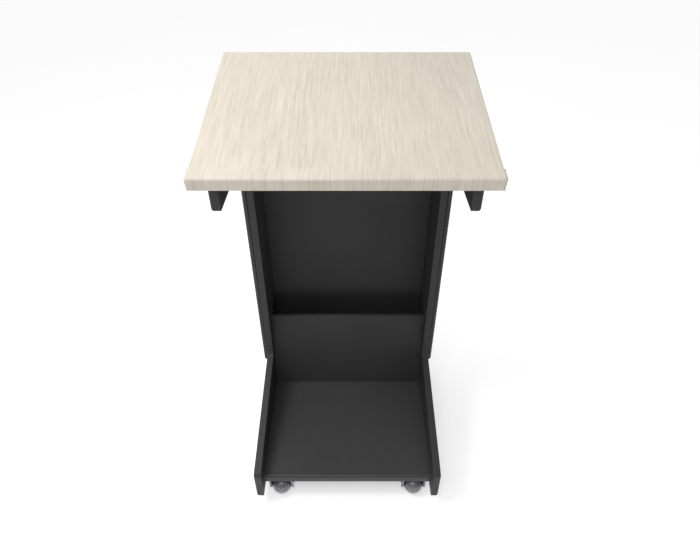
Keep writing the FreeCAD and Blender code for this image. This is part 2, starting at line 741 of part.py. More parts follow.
def caster_plate():
    half = PLATE_SIZE / 2.0
    plate = Part.makeBox(PLATE_SIZE, PLATE_SIZE, PLATE_THICKNESS, vec(-half, -half, PLATE_UNDER_Z))
    upright = edges_where(plate, lambda p: min(abs(p.x), abs(p.y)) > half - SAME_PLACE)
    plate = plate.makeFillet(PLATE_CORNER_ROUND, upright)
    holes = [Part.makeCylinder(PLATE_SCREW_RADIUS + PLATE_HOLE_CLEARANCE, PLATE_THICKNESS, at, Z_AXIS)
             for at in plate_hole_points(PLATE_UNDER_Z)]
    holes.append(Part.makeCylinder(KINGPIN_RADIUS, PLATE_THICKNESS, vec(0, 0, PLATE_UNDER_Z), Z_AXIS))
    return plate.cut(holes)


def caster_race():
    """Fixed upper ball race, pressed to the plate around the kingpin."""
    height = PLATE_UNDER_Z - RACE_UNDER_Z
    race = Part.makeCylinder(RACE_RADIUS, height, vec(0, 0, RACE_UNDER_Z), Z_AXIS)
    bore = Part.makeCylinder(KINGPIN_RADIUS, height, vec(0, 0, RACE_UNDER_Z), Z_AXIS)
    groove = Part.makeTorus(BALL_CIRCLE_RADIUS, BALL_RADIUS + BALL_GAP, vec(0, 0, BALL_CENTRE_Z), Z_AXIS)
    return race.cut([bore, groove])


def caster_balls():
    balls = []
    for i in range(BALL_COUNT):
        turn = 2.0 * math.pi * i / BALL_COUNT
        at = vec(BALL_CIRCLE_RADIUS * math.cos(turn), BALL_CIRCLE_RADIUS * math.sin(turn), BALL_CENTRE_Z)
        balls.append(Part.makeSphere(BALL_RADIUS, at))
    return balls


def caster_kingpin():
    """Rivet that holds the fork to the plate."""
    head_top = CROWN_UNDER_Z - KINGPIN_GAP
    head = Part.makeCylinder(KINGPIN_HEAD_RADIUS, KINGPIN_HEAD_HEIGHT,
                             vec(0, 0, head_top - KINGPIN_HEAD_HEIGHT), Z_AXIS)
    rim = [e for e in head.Edges if e.CenterOfMass.z < head_top - KINGPIN_HEAD_HEIGHT + SAME_PLACE]
    head = head.makeFillet(KINGPIN_HEAD_HEIGHT / 2.0, rim)
    shank = Part.makeCylinder(KINGPIN_RADIUS, SHELF_UNDER_Z - head_top, vec(0, 0, head_top), Z_AXIS)
    return head.fuse(shank).removeSplitter()


def fork_leg():
    """One fork leg: straight edges that run tangent into a round end about the axle."""
    half_top = FORK_LEG_TOP_WIDTH / 2.0
    end = FORK_LEG_END_RADIUS
    rise = CROWN_TOP_Z - WHEEL_RADIUS
    tangent = math.atan2(rise, half_top) - math.acos(end / math.hypot(rise, half_top))
    axle = vec(FORK_GAP_HALF, -TRAIL, WHEEL_RADIUS)
    top = [axle + vec(0, side * half_top, rise) for side in (-1, 1)]
    touch = [axle + vec(0, side * end * math.cos(tangent), end * math.sin(tangent)) for side in (-1, 1)]
    wire = Part.Wire([
        Part.LineSegment(top[0], top[1]).toShape(),
        Part.LineSegment(top[1], touch[1]).toShape(),
        Part.Arc(touch[1], axle - Z_AXIS * end, touch[0]).toShape(),
        Part.LineSegment(touch[0], top[0]).toShape(),
    ])
    return Part.Face(wire).extrude(vec(FORK_THICKNESS, 0, 0))


def caster_fork():
    """Fork: crown over the wheel and two legs down to the axle."""
    crown_disc = Part.makeCylinder(FORK_CROWN_RADIUS, FORK_CROWN_THICKNESS,
                                   vec(0, 0, CROWN_UNDER_Z), Z_AXIS)
    half_top = FORK_LEG_TOP_WIDTH / 2.0
    bridge = Part.makeBox(2.0 * FORK_OUTER_X, FORK_LEG_TOP_WIDTH, FORK_CROWN_THICKNESS,
                          vec(-FORK_OUTER_X, -TRAIL - half_top, CROWN_UNDER_Z))
    leg = fork_leg()
    fork = bridge.fuse([crown_disc, leg, mirror_x(leg)]).removeSplitter()
    shoulders = edges_where(
        fork, lambda p: abs(abs(p.x) - FORK_OUTER_X) < SAME_PLACE and p.z > CROWN_TOP_Z - SAME_PLACE)
    fork = fork.makeFillet(FORK_OUTER_ROUND, shoulders)
    pin_hole = Part.makeCylinder(KINGPIN_RADIUS + RUNNING_CLEARANCE, FORK_CROWN_THICKNESS,
                                 vec(0, 0, CROWN_UNDER_Z), Z_AXIS)
    axle_hole = Part.makeCylinder(AXLE_RADIUS, 2.0 * FORK_OUTER_X,
                                  vec(-FORK_OUTER_X, -TRAIL, WHEEL_RADIUS), X_AXIS)
    return fork.cut([pin_hole, axle_hole])


def caster_axle():
    """Riveted axle with a low head outside each leg."""
    half = FORK_OUTER_X
    axle = Part.makeCylinder(AXLE_RADIUS, 2.0 * half, vec(-half, -TRAIL, WHEEL_RADIUS), X_AXIS)
    head = Part.makeCylinder(AXLE_HEAD_RADIUS, AXLE_HEAD_HEIGHT, vec(half, -TRAIL, WHEEL_RADIUS), X_AXIS)
    rim = [e for e in head.Edges if e.CenterOfMass.x > half + AXLE_HEAD_HEIGHT - SAME_PLACE]
    head = head.makeFillet(AXLE_HEAD_ROUND, rim)
    return axle.fuse([head, mirror_x(head)]).removeSplitter()


def wheel_point(x, radius):
    """Point of the wheel's turned outline: x along the axle, radius out from it."""
    return vec(x, -TRAIL, WHEEL_RADIUS + radius)


def ball_radius_at(x):
    """Radius about the axle of the wheel's ball shape at x."""
    return math.sqrt(WHEEL_RADIUS ** 2 - x ** 2)


def ball_arc(x_from, x_to):
    """Outline of the ball between two places along the axle."""
    middle = (x_from + x_to) / 2.0
    return Part.Arc(wheel_point(x_from, ball_radius_at(x_from)), wheel_point(middle, ball_radius_at(middle)),
                    wheel_point(x_to, ball_radius_at(x_to))).toShape()


def run_lines(points):
    return [Part.LineSegment(start, end).toShape() for start, end in zip(points, points[1:])]


def turned(edges):
    """Solid turned about the axle from an outline."""
    return Part.Face(Part.Wire(edges)).revolve(wheel_point(0, 0), X_AXIS, 360)


def wheel_tread():
    """Softer band around the middle of the wheel."""
    half = TREAD_HALF_WIDTH
    seat = WHEEL_RADIUS - TREAD_THICKNESS
    return turned([ball_arc(-half, half)] + run_lines([
        wheel_point(half, ball_radius_at(half)),
        wheel_point(half, seat),
        wheel_point(-half, seat),
        wheel_point(-half, ball_radius_at(half)),
    ]))


def wheel_core():
    """Ball-shaped core with a seat for the tread, flat cheeks, hub bosses and a bore."""
    half = TREAD_HALF_WIDTH
    seat = WHEEL_RADIUS - TREAD_THICKNESS
    cheek = WHEEL_HALF_WIDTH
    hub = FORK_GAP_HALF - HUB_BOSS_GAP
    bore = AXLE_RADIUS + RUNNING_CLEARANCE
    tread_seat = run_lines([
        wheel_point(-half, ball_radius_at(half)),
        wheel_point(-half, seat),
        wheel_point(half, seat),
        wheel_point(half, ball_radius_at(half)),
    ])
    hub_outline = run_lines([
        wheel_point(cheek, ball_radius_at(cheek)),
        wheel_point(cheek, HUB_BOSS_RADIUS),
        wheel_point(hub, HUB_BOSS_RADIUS),
        wheel_point(hub, bore),
        wheel_point(-hub, bore),
        wheel_point(-hub, HUB_BOSS_RADIUS),
        wheel_point(-cheek, HUB_BOSS_RADIUS),
        wheel_point(-cheek, ball_radius_at(cheek)),
    ])
    return turned([ball_arc(-cheek, -half)] + tread_seat + [ball_arc(half, cheek)] + hub_outline)


def export_casters():
    pieces = {
        "plate": [caster_plate()],
        "race": [caster_race()],
        "balls": caster_balls(),
        "kingpin": [caster_kingpin()],
        "fork": [caster_fork()],
        "axle": [caster_axle()],
        "wheel_core": [wheel_core()],
        "tread": [wheel_tread()],
    }
    for corner, place in caster_places().items():
        for piece, solids in pieces.items():
            export(corner + "_caster_" + piece, [solid.translated(place) for solid in solids])


def main():
    os.makedirs("parts", exist_ok=True)
    right_side = side_panel_right()
    right_cover = column_cover_right()
    export("top_board", top_board())
    export("book_stop", book_stop())
    export("book_stop_dowels", [rake_to_place(dowel) for dowel in stop_dowel_shapes()])
    export("side_panel_right", [right_side])
    export("side_panel_left", [mirror_x(right_side)])
    export("column_cover_right", [right_cover])
    export("column_cover_left", [mirror_x(right_cover)])
    export("bottom_shelf", bottom_shelf())
    export("back_panel", back_panel())
    export("pocket_panel", pocket_panel())
    export("top_rail", top_rail())
    export("shelf_dowels", joint_dowels(shelf_joints()))
    export("back_panel_dowels", joint_dowels(back_joints()))
    export("pocket_dowels", joint_dowels(pocket_joints()))
    export("top_rail_dowels", joint_dowels(cap_joints()))
    export("panel_screws", all_panel_screws())
    export("screw_caps", screw_caps())
    export("cover_screws", all_cover_screws())
    export("board_brackets", board_brackets())
    export("bracket_board_screws", bracket_board_screws())
    export("bracket_panel_screws", bracket_panel_screws())
    export("caster_screws", caster_screws())
    export_casters()


main()
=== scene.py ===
"""Mobile lectern stand: its visible pieces and finishes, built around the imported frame.

Metres throughout. +Z is up, +Y points away from the speaker and +X to the speaker's right.
"""
import logging
import math
from dataclasses import dataclass, replace
from enum import Enum
from typing import Callable, Iterable, Sequence

import bmesh
import bpy
from mathutils import Matrix, Vector


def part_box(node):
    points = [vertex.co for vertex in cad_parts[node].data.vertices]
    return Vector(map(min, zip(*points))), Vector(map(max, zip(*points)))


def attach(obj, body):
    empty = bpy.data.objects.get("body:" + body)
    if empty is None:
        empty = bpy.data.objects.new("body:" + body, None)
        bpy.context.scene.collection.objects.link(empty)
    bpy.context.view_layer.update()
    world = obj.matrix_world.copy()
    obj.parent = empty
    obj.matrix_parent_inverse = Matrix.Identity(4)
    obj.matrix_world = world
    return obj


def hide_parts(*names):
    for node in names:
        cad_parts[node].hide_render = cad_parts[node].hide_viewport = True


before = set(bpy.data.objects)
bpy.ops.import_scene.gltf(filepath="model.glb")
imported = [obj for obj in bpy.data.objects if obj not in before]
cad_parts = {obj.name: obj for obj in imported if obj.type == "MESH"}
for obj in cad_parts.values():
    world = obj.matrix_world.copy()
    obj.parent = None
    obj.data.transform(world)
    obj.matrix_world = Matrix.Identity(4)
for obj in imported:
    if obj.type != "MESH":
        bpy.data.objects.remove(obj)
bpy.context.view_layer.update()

LOG = logging.getLogger("lectern")

MM = 0.001
NEAR = 0.02 * MM
SHARP_ANGLE = math.radians(38.0)
CHORD = 1.5 * MM
FEWEST_CHORDS = 5

AXIS_X = Vector((1.0, 0.0, 0.0))
AXIS_Y = Vector((0.0, 1.0, 0.0))
AXIS_Z = Vector((0.0, 0.0, 1.0))

RoundRule = Callable[[bmesh.types.BMEdge], float]


# ---- choices ----
class Side(Enum):
    """Which side of the stand a piece is on; the value is the sign of its X."""

    LEFT = -1
    RIGHT = 1


class Corner(Enum):
    """The four casters, named as the frame's nodes name them."""

    FRONT_LEFT = "front_left"
    FRONT_RIGHT = "front_right"
    REAR_LEFT = "rear_left"
    REAR_RIGHT = "rear_right"


class Slot(Enum):
    """Material slots of the record that the pieces made here use."""

    TOP = "top_laminate"
    PANEL = "charcoal_panel"
    SHELF = "charcoal_shelf"
    PLASTIC = "charcoal_plastic"
    ZINC = "zinc_screw"
    BLACK_SCREW = "black_screw"
    BRACKET = "bracket_steel"
    CASTER_STEEL = "caster_steel"
    FORK = "caster_fork"
    WHEEL_CORE = "wheel_core"
    TREAD = "wheel_tread"


# ---- the frame's places ----
@dataclass(frozen=True)
class SolidPart:
    """One solid of a frame node, as the points of its surface."""

    points: tuple[Vector, ...]

    def span(self, direction: Vector) -> tuple[float, float]:
        """Lowest and highest place of the solid along a direction."""
        along = [point.dot(direction) for point in self.points]
        return min(along), max(along)

    def middle(self, direction: Vector) -> float:
        """Middle of the solid along a direction."""
        low, high = self.span(direction)
        return (low + high) / 2.0


def solids_of(node: str) -> list[SolidPart]:
    """Split a frame node into its separate solids.

    Args:
        node: Name of the frame node.

    Returns:
        One part per solid, in the order in which the mesh holds them.
    """
    bm = bmesh.new()
    bm.from_mesh(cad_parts[node].data)
    bmesh.ops.remove_doubles(bm, verts=bm.verts, dist=NEAR)
    unseen = set(bm.verts)
    parts = []
    for seed in list(bm.verts):
        if seed not in unseen:
            continue
        unseen.discard(seed)
        island, waiting = [], [seed]
        while waiting:
            vert = waiting.pop()
            island.append(vert.co.copy())
            for edge in vert.link_edges:
                other = edge.other_vert(vert)
                if other in unseen:
                    unseen.discard(other)
                    waiting.append(other)
        parts.append(SolidPart(tuple(island)))
    bm.free()
    return parts


@dataclass(frozen=True)
class Plan:
    """Where the stand's main faces lie, and the rake that its sloping edges share."""

    inner_x: float
    side_outer_x: float
    cover_outer_x: float
    front_y: float
    column_front_y: float
    rear_y: float
    foot_under_z: float
    cover_bottom_z: float
    column_top_z: float
    rake: float = math.radians(12.5)

    @classmethod
    def from_frame(cls) -> "Plan":
        """Read the plan from the frame's side panel and cover.

        Returns:
            The plan.
        """
        panel_low, panel_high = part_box("side_panel_right")
        cover_low, cover_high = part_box("column_cover_right")
        return cls(
            inner_x=panel_low.x,
            side_outer_x=panel_high.x,
            cover_outer_x=cover_high.x,
            front_y=panel_low.y,
            column_front_y=cover_low.y,
            rear_y=panel_high.y,
            foot_under_z=panel_low.z,
            cover_bottom_z=cover_low.z,
            column_top_z=panel_high.z,
        )

    @property
    def slope(self) -> float:
        """Rise of a raked edge for each unit of depth."""
        return math.tan(self.rake)

    @property
    def along(self) -> Vector:
        """Direction up the slope of the reading top."""
        return Vector((0.0, math.cos(self.rake), math.sin(self.rake)))

    @property
    def normal(self) -> Vector:
        """Direction out of the reading top."""
        return Vector((0.0, -math.sin(self.rake), math.cos(self.rake)))


# ---- mesh work ----
@dataclass(frozen=True)
class OutlinePoint:
    """A corner of a board's outline in the plane of the board, with its round."""

    u: float
    v: float
    radius: float = 0.0


def axes(u: Vector, v: Vector, w: Vector, origin: Vector = Vector()) -> Matrix:
    """Matrix that carries local u, v and w onto three directions at an origin.

    Args:
        u: Direction of local u.
        v: Direction of local v.
        w: Direction of local w.
        origin: Where local zero lies.

    Returns:
        The matrix.
    """
    turned = Matrix((u, v, w)).transposed().to_4x4()
    turned.translation = origin
    return turned


def fillet_corner(bm: bmesh.types.BMesh, corner: bmesh.types.BMVert, radius: float) -> None:
    """Replace one corner of a flat outline by an arc.

    Args:
        bm: Mesh that holds the outline's face.
        corner: The outline's vertex.
        radius: Radius of the arc.
    """
    first, second = (edge.other_vert(corner).co - corner.co for edge in corner.link_edges)
    reach = radius / math.tan(first.angle(second) / 2.0)
    steps = max(FEWEST_CHORDS, round(radius / CHORD))
    bmesh.ops.bevel(bm, geom=[corner], offset=reach, offset_type="OFFSET", segments=steps,
                    profile=0.5, affect="VERTICES", clamp_overlap=False, material=-1)


def cut_sheet(outline: Sequence[OutlinePoint], thickness: float, place: Matrix) -> bmesh.types.BMesh:
    """Cut a board to an outline and give it its thickness.

    Args:
        outline: Corners in order round the board, in local u and v.
        thickness: Thickness along local w.
        place: Matrix from local u, v, w to the stand.

    Returns:
        The closed board, with no edge softened yet.
    """
    bm = bmesh.new()
    corners = [bm.verts.new((point.u, point.v, 0.0)) for point in outline]
    bm.faces.new(corners)
    for corner, point in zip(corners, outline):
        if point.radius > 0.0:
            fillet_corner(bm, corner, point.radius)
    pulled = bmesh.ops.extrude_face_region(bm, geom=list(bm.faces))
    moved = [item for item in pulled["geom"] if isinstance(item, bmesh.types.BMVert)]
    bmesh.ops.translate(bm, vec=(0.0, 0.0, thickness), verts=moved)
    bmesh.ops.transform(bm, matrix=place, verts=bm.verts)
    bmesh.ops.recalc_face_normals(bm, faces=bm.faces)
    return bm


def block(low: Vector, high: Vector) -> bmesh.types.BMesh:
    """Plain board that fills the box between two corners.

    Args:
        low: Lowest corner.
        high: Highest corner.

    Returns:
        The closed board.
    """
    bm = bmesh.new()
    bmesh.ops.create_cube(bm, size=1.0)
    size = high - low
    bmesh.ops.scale(bm, vec=size, verts=bm.verts)
    bmesh.ops.translate(bm, vec=(low + high) / 2.0, verts=bm.verts)
    return bm


def arc(centre: tuple[float, float], radius: float, start: float, end: float,
        steps: int) -> list[tuple[float, float]]:
    """Points along an arc of a turned outline.

    Args:
        centre: Middle of the arc, as (along the axis, out from it).
        radius: Radius of the arc.
        start: First angle in degrees, 0 along the axis and 90 straight out.
        end: Last angle in degrees.
        steps: Number of chords.

    Returns:
        The points from start to end, both included.
    """
    turns = [math.radians(start + (end - start) * i / steps) for i in range(steps + 1)]
    return [(centre[0] + radius * math.cos(turn), centre[1] + radius * math.sin(turn))
            for turn in turns]


def turn_outline(profile: Sequence[tuple[float, float]], place: Matrix, steps: int,
                 closed: bool = False) -> bmesh.types.BMesh:
    """Turn an outline about local z into a closed solid.

    Args:
        profile: Points as (along the axis, out from it).
        place: Matrix from the local frame to the stand.
        steps: Number of facets round the axis.
        closed: True for a ring, whose outline comes back to its first point.

    Returns:
        The turned solid.
    """
    bm = bmesh.new()
    verts = [bm.verts.new((out, 0.0, along)) for along, out in profile]
    pairs = list(zip(verts, verts[1:]))
    if closed:
        pairs.append((verts[-1], verts[0]))
    edges = [bm.edges.new(pair) for pair in pairs]
    bmesh.ops.spin(bm, geom=verts + edges, cent=(0.0, 0.0, 0.0), axis=AXIS_Z, angle=2.0 * math.pi,
                   steps=steps, use_merge=True)
    bmesh.ops.remove_doubles(bm, verts=bm.verts, dist=NEAR)
    bmesh.ops.transform(bm, matrix=place, verts=bm.verts)
    bmesh.ops.recalc_face_normals(bm, faces=bm.faces)
    return bm


def take_in(bm: bmesh.types.BMesh, other: bmesh.types.BMesh) -> None:
    """Add another mesh's faces to bm and free the other.

    Args:
        bm: Mesh that grows.
        other: Mesh that is taken in.
    """
    held = bpy.data.meshes.new("held")
    other.to_mesh(held)
    other.free()
    bm.from_mesh(held)
    bpy.data.meshes.remove(held)


def gather(parts: Iterable[bmesh.types.BMesh]) -> bmesh.types.BMesh:
    """Join several meshes into one, each keeping its own closed surface.

    Args:
        parts: The meshes; they are freed.

    Returns:
        The joined mesh.
    """
    whole = bmesh.new()
    for part in parts:
        take_in(whole, part)
    return whole


def on_plane(edge: bmesh.types.BMEdge, direction: Vector, place: float) -> bool:
    """True where both ends of an edge lie on the plane at a place along a direction."""
    return all(abs(vert.co.dot(direction) - place) < NEAR for vert in edge.verts)


@dataclass(frozen=True)
class Softening:
    """How a piece's edges are rounded: a radius for each edge, and the arc's facets."""

    rule: RoundRule
    widest: float
    segments: int = 4

    def dress(self, bm: bmesh.types.BMesh) -> None:
        """Store each edge's share of the widest round, and keep the others crisp.

        Args:
            bm: The piece's mesh, before it is written out.
        """
        shares = bm.edges.layers.float.new("bevel_weight_edge")
        for edge in bm.edges:
            crisp = len(edge.link_faces) == 2 and edge.calc_face_angle() > SHARP_ANGLE
            radius = self.rule(edge) if crisp else 0.0
            edge[shares] = radius / self.widest
            edge.smooth = radius > 0.0 or not crisp

    def attach(self, piece: bpy.types.Object) -> None:
        """Add the modifiers that cut the rounds and level the shading.

        Args:
            piece: The object that holds the dressed mesh.
        """
        bevel = piece.modifiers.new("soft_edges", "BEVEL")
        bevel.limit_method = "WEIGHT"
        bevel.width = self.widest
        bevel.segments = self.segments
        bevel.profile = 0.5
        bevel.use_clamp_overlap = False
        level = piece.modifiers.new("level_shading", "WEIGHTED_NORMAL")
        level.keep_sharp = True
        level.weight = 80


def even_softening(radius: float, segments: int = 2) -> Softening:
    """The same small round on every crisp edge."""
    return Softening(rule=lambda edge: radius, widest=radius, segments=segments)


def make_piece(name: str, bm: bmesh.types.BMesh, finish: bpy.types.Material, body: str,
               replaces: Sequence[str], softening: Softening | None = None) -> bpy.types.Object:
    """Turn a finished mesh into a piece of the stand.

    Args:
        name: Name of the piece.
        bm: Its mesh, in place; it is freed.
        finish: Its material.
        body: Frame body that the piece rides on.
        replaces: Frame nodes that the piece stands for.
        softening: Rounds of its edges, or None where the mesh already has them.

    Returns:
        The linked object.
    """
    if softening is not None:
        softening.dress(bm)
    else:
        for edge in bm.edges:
            edge.smooth = len(edge.link_faces) != 2 or edge.calc_face_angle() < SHARP_ANGLE
    for face in bm.faces:
        face.smooth = True
    mesh = bpy.data.meshes.new(name)
    bm.to_mesh(mesh)
    faces = len(bm.faces)
    bm.free()
    mesh.materials.append(finish)
    piece = bpy.data.objects.new(name, mesh)
    bpy.context.scene.collection.objects.link(piece)
    if softening is not None:
        softening.attach(piece)
    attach(piece, body)
    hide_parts(*replaces)
    LOG.info("%s: %d faces before rounding, on %s", name, faces, body)
    return piece


# ---- materials ----
class Shader:
    """A node material under construction, with one Principled surface."""

    def __init__(self, name: str) -> None:
        """Start an empty node material.

        Args:
            name: The material's name.
        """
        self.material = bpy.data.materials.new(name)
        self.material.use_nodes = True
        self.tree = self.material.node_tree
        self.tree.nodes.clear()
        self.coords = self.tree.nodes.new("ShaderNodeTexCoord").outputs["Object"]
        self.surface = self.tree.nodes.new("ShaderNodeBsdfPrincipled")
        output = self.tree.nodes.new("ShaderNodeOutputMaterial")
        self.tree.links.new(self.surface.outputs["BSDF"], output.inputs["Surface"])

    def mapped(self, scale: Sequence[float], turn: Sequence[float] = (0.0, 0.0, 0.0),
               shift: Sequence[float] = (0.0, 0.0, 0.0)) -> bpy.types.NodeSocket:
        """Object coordinates, moved, turned about the origin and stretched.

        Args:
            scale: Stretch along each axis after the turn.
            turn: Turn about each axis, in radians.
            shift: Move after the turn and stretch.

        Returns:
            The coordinate socket.
        """
        turned = self.tree.nodes.new("ShaderNodeMapping")
        turned.inputs["Rotation"].default_value = turn
        self.tree.links.new(self.coords, turned.inputs["Vector"])
        stretched = self.tree.nodes.new("ShaderNodeMapping")
        stretched.inputs["Scale"].default_value = scale
        stretched.inputs["Location"].default_value = shift
        self.tree.links.new(turned.outputs["Vector"], stretched.inputs["Vector"])
        return stretched.outputs["Vector"]

    def noise(self, vector: bpy.types.NodeSocket, scale: float, detail: float = 2.0,
              roughness: float = 0.5, distortion: float = 0.0) -> bpy.types.NodeSocket:
        """Noise value over a coordinate.

        Args:
            vector: Coordinate socket.
            scale: Cells per metre of the coordinate.
            detail: Finer layers on top of the first.
            roughness: Weight of the finer layers.
            distortion: How far the pattern is pushed about.

        Returns:
            The value socket.
        """
        node = self.tree.nodes.new("ShaderNodeTexNoise")
        node.inputs["Scale"].default_value = scale
        node.inputs["Detail"].default_value = detail
        node.inputs["Roughness"].default_value = roughness
        node.inputs["Distortion"].default_value = distortion
        self.tree.links.new(vector, node.inputs["Vector"])
        return node.outputs["Fac"]

    def flecks(self, vector: bpy.types.NodeSocket, scale: float) -> bpy.types.NodeSocket:
        """Distance to scattered cell centres, for pores and pits.

        Args:
            vector: Coordinate socket.
            scale: Cells per metre of the coordinate.

        Returns:
            The distance socket.
        """
        node = self.tree.nodes.new("ShaderNodeTexVoronoi")
        node.inputs["Scale"].default_value = scale
        self.tree.links.new(vector, node.inputs["Vector"])
        return node.outputs["Distance"]

    def spread(self, value: bpy.types.NodeSocket, low: float, high: float, to_low: float,
               to_high: float) -> bpy.types.NodeSocket:
        """Carry a value's range onto another, clamped.

        Args:
            value: The value socket.
            low: Value that becomes to_low.
            high: Value that becomes to_high.
            to_low: Result at low.
            to_high: Result at high.

        Returns:
            The result socket.
        """
        node = self.tree.nodes.new("ShaderNodeMapRange")
        node.inputs["From Min"].default_value = low
        node.inputs["From Max"].default_value = high
        node.inputs["To Min"].default_value = to_low
        node.inputs["To Max"].default_value = to_high
        self.tree.links.new(value, node.inputs["Value"])
        return node.outputs["Result"]

    def math(self, operation: str, first: bpy.types.NodeSocket,
             second: bpy.types.NodeSocket | float) -> bpy.types.NodeSocket:
        """Result of a math node on a socket and a socket or number.

        Args:
            operation: The node's operation.
            first: First value.
            second: Second value, or a number.

        Returns:
            The value socket.
        """
        node = self.tree.nodes.new("ShaderNodeMath")
        node.operation = operation
        self.tree.links.new(first, node.inputs[0])
        if isinstance(second, float):
            node.inputs[1].default_value = second
        else:
            self.tree.links.new(second, node.inputs[1])
        return node.outputs["Value"]

    def ramp(self, value: bpy.types.NodeSocket,
             stops: Sequence[tuple[float, Sequence[float]]]) -> bpy.types.NodeSocket:
        """Colour from a value through a ramp of (place, colour) stops.

        Args:
            value: Value socket.
            stops: The stops in order.

        Returns:
            The colour socket.
        """
        node = self.tree.nodes.new("ShaderNodeValToRGB")
        ramp = node.color_ramp
        while len(ramp.elements) < len(stops):
            ramp.elements.new(0.5)
        for element, (place, colour) in zip(ramp.elements, stops):
            element.position = place
            element.color = (*colour, 1.0)
        self.tree.links.new(value, node.inputs["Fac"])
        return node.outputs["Color"]

    def tint(self, factor: bpy.types.NodeSocket, base: bpy.types.NodeSocket,
             colour: Sequence[float], blend: str = "MIX") -> bpy.types.NodeSocket:
        """Mix a colour over a base by a factor.

        Args:
            factor: How much of the colour is laid on.
            base: Colour socket under it.
            colour: The colour.
            blend: How the two mix.

        Returns:
            The colour socket.
        """
        node = self.tree.nodes.new("ShaderNodeMix")
        node.data_type = "RGBA"
        node.blend_type = blend
        self.tree.links.new(factor, node.inputs["Factor"])
        self.tree.links.new(base, node.inputs[6])
        node.inputs[7].default_value = (*colour, 1.0)
        return node.outputs[2]

    def relief(self, height: bpy.types.NodeSocket, depth: float, strength: float = 1.0) -> None:
        """Add relief of a real depth; a second call lays it over the first.

        Args:
            height: Height socket, from 0 to 1.
            depth: Real depth of the relief.
            strength: Share of the relief that shows.
        """
        node = self.tree.nodes.new("ShaderNodeBump")
        node.inputs["Strength"].default_value = strength
        node.inputs["Distance"].default_value = depth
        self.tree.links.new(height, node.inputs["Height"])
        under = self.surface.inputs["Normal"].links
        if under:
            self.tree.links.new(under[0].from_socket, node.inputs["Normal"])
        self.tree.links.new(node.outputs["Normal"], self.surface.inputs["Normal"])

    def colour(self, socket: bpy.types.NodeSocket) -> None:
        """Use a colour socket as the surface's base colour."""
        self.tree.links.new(socket, self.surface.inputs["Base Color"])

    def roughness(self, socket: bpy.types.NodeSocket) -> None:
        """Use a value socket as the surface's roughness."""
        self.tree.links.new(socket, self.surface.inputs["Roughness"])

    def set(self, **values: float) -> None:
        """Set uniform numbers on the surface, with underscores for the spaces in their names."""
        for name, value in values.items():
            self.surface.inputs[name.replace("_", " ")].default_value = value


def shade(colour: Sequence[float], factor: float) -> tuple[float, ...]:
    """Colour lightened or darkened by a factor, kept in range."""
    return tuple(min(1.0, channel * factor) for channel in colour)


@dataclass(frozen=True)
class WoodgrainLaminate:
    """Pale printed wood laminate, its fine grain running up the slope and over the stop."""

    rake: float
    pale: tuple[float, float, float] = (0.575, 0.525, 0.448)
    mid: tuple[float, float, float] = (0.496, 0.448, 0.377)
    deep: tuple[float, float, float] = (0.370, 0.326, 0.266)
    pores_per_metre: float = 620.0
    streaks_per_metre: float = 230.0
    bands_per_metre: float = 26.0

    def make(self) -> bpy.types.Material:
        """Build the material.

        Returns:
            The material.
        """
        shader = Shader("woodgrain_laminate")
        back = (-self.rake, 0.0, 0.0)
        bands = shader.noise(shader.mapped((1.0, 0.05, 0.05), back), self.bands_per_metre, 3.0, 0.6)
        streaks = shader.noise(shader.mapped((1.0, 0.045, 0.045), back),
                               self.streaks_per_metre, 4.0, 0.65, 0.3)
        pores = shader.noise(shader.mapped((1.0, 0.03, 0.03), back, (7.1, 2.3, 0.4)),
                             self.pores_per_metre, 3.0, 0.7)
        edge_lines = shader.noise(shader.mapped((0.02, 0.012, 1.0), back), self.streaks_per_metre, 3.0, 0.6)
        weave = shader.math("ADD", shader.math("MULTIPLY", streaks, 0.55),
                            shader.math("MULTIPLY", pores, 0.30))
        grain = shader.math("ADD", weave, shader.math("MULTIPLY", edge_lines, 0.15))
        colour = shader.ramp(grain, [(0.30, self.deep), (0.48, self.mid), (0.62, self.pale)])
        warm = shader.spread(bands, 0.35, 0.65, 0.0, 0.30)
        colour = shader.tint(warm, colour, shade(self.mid, 1.04))
        dark_lines = shader.spread(pores, 0.60, 0.72, 0.0, 0.35)
        shader.colour(shader.tint(dark_lines, colour, shade(self.deep, 0.92)))
        shader.roughness(shader.spread(grain, 0.35, 0.60, 0.50, 0.40))
        shader.relief(pores, 0.05 * MM, 0.5)
        shader.set(Specular_IOR_Level=0.42, Coat_Weight=0.08, Coat_Roughness=0.30)
        return shader.material


@dataclass(frozen=True)
class CharcoalBoard:
    """Satin charcoal foil over board, with a faint orange-peel and handling marks."""

    name: str
    base: tuple[float, float, float] = (0.038, 0.038, 0.039)
    gloss: float = 0.48
    peel_depth: float = 0.03 * MM

    def make(self) -> bpy.types.Material:
        """Build the material.

        Returns:
            The material.
        """
        shader = Shader(self.name)
        even = shader.mapped((1.0, 1.0, 1.0))
        cloud = shader.noise(even, 5.0, 4.0, 0.55)
        speck = shader.noise(even, 900.0, 2.0, 0.6)
        peel = shader.noise(even, 380.0, 2.0, 0.5)
        rubbed = shader.noise(shader.mapped((1.0, 1.0, 0.35), shift=(3.0, 1.0, 2.0)), 16.0, 5.0, 0.68, 0.6)
        colour = shader.ramp(cloud, [(0.30, shade(self.base, 0.94)), (0.70, shade(self.base, 1.06))])
        colour = shader.tint(shader.spread(speck, 0.58, 0.75, 0.0, 0.22), colour, shade(self.base, 1.7))
        shader.colour(colour)
        marks = shader.math("MULTIPLY", shader.spread(rubbed, 0.48, 0.72, 0.0, 1.0), 0.07)
        fine = shader.math("MULTIPLY", shader.spread(speck, 0.3, 0.7, -1.0, 1.0), 0.025)
        worn = shader.math("ADD", marks, fine)
        shader.roughness(shader.math("ADD", worn, self.gloss))
        shader.relief(peel, self.peel_depth, 0.35)
        shader.relief(speck, self.peel_depth, 0.18)
        shader.set(Specular_IOR_Level=0.20)
        return shader.material


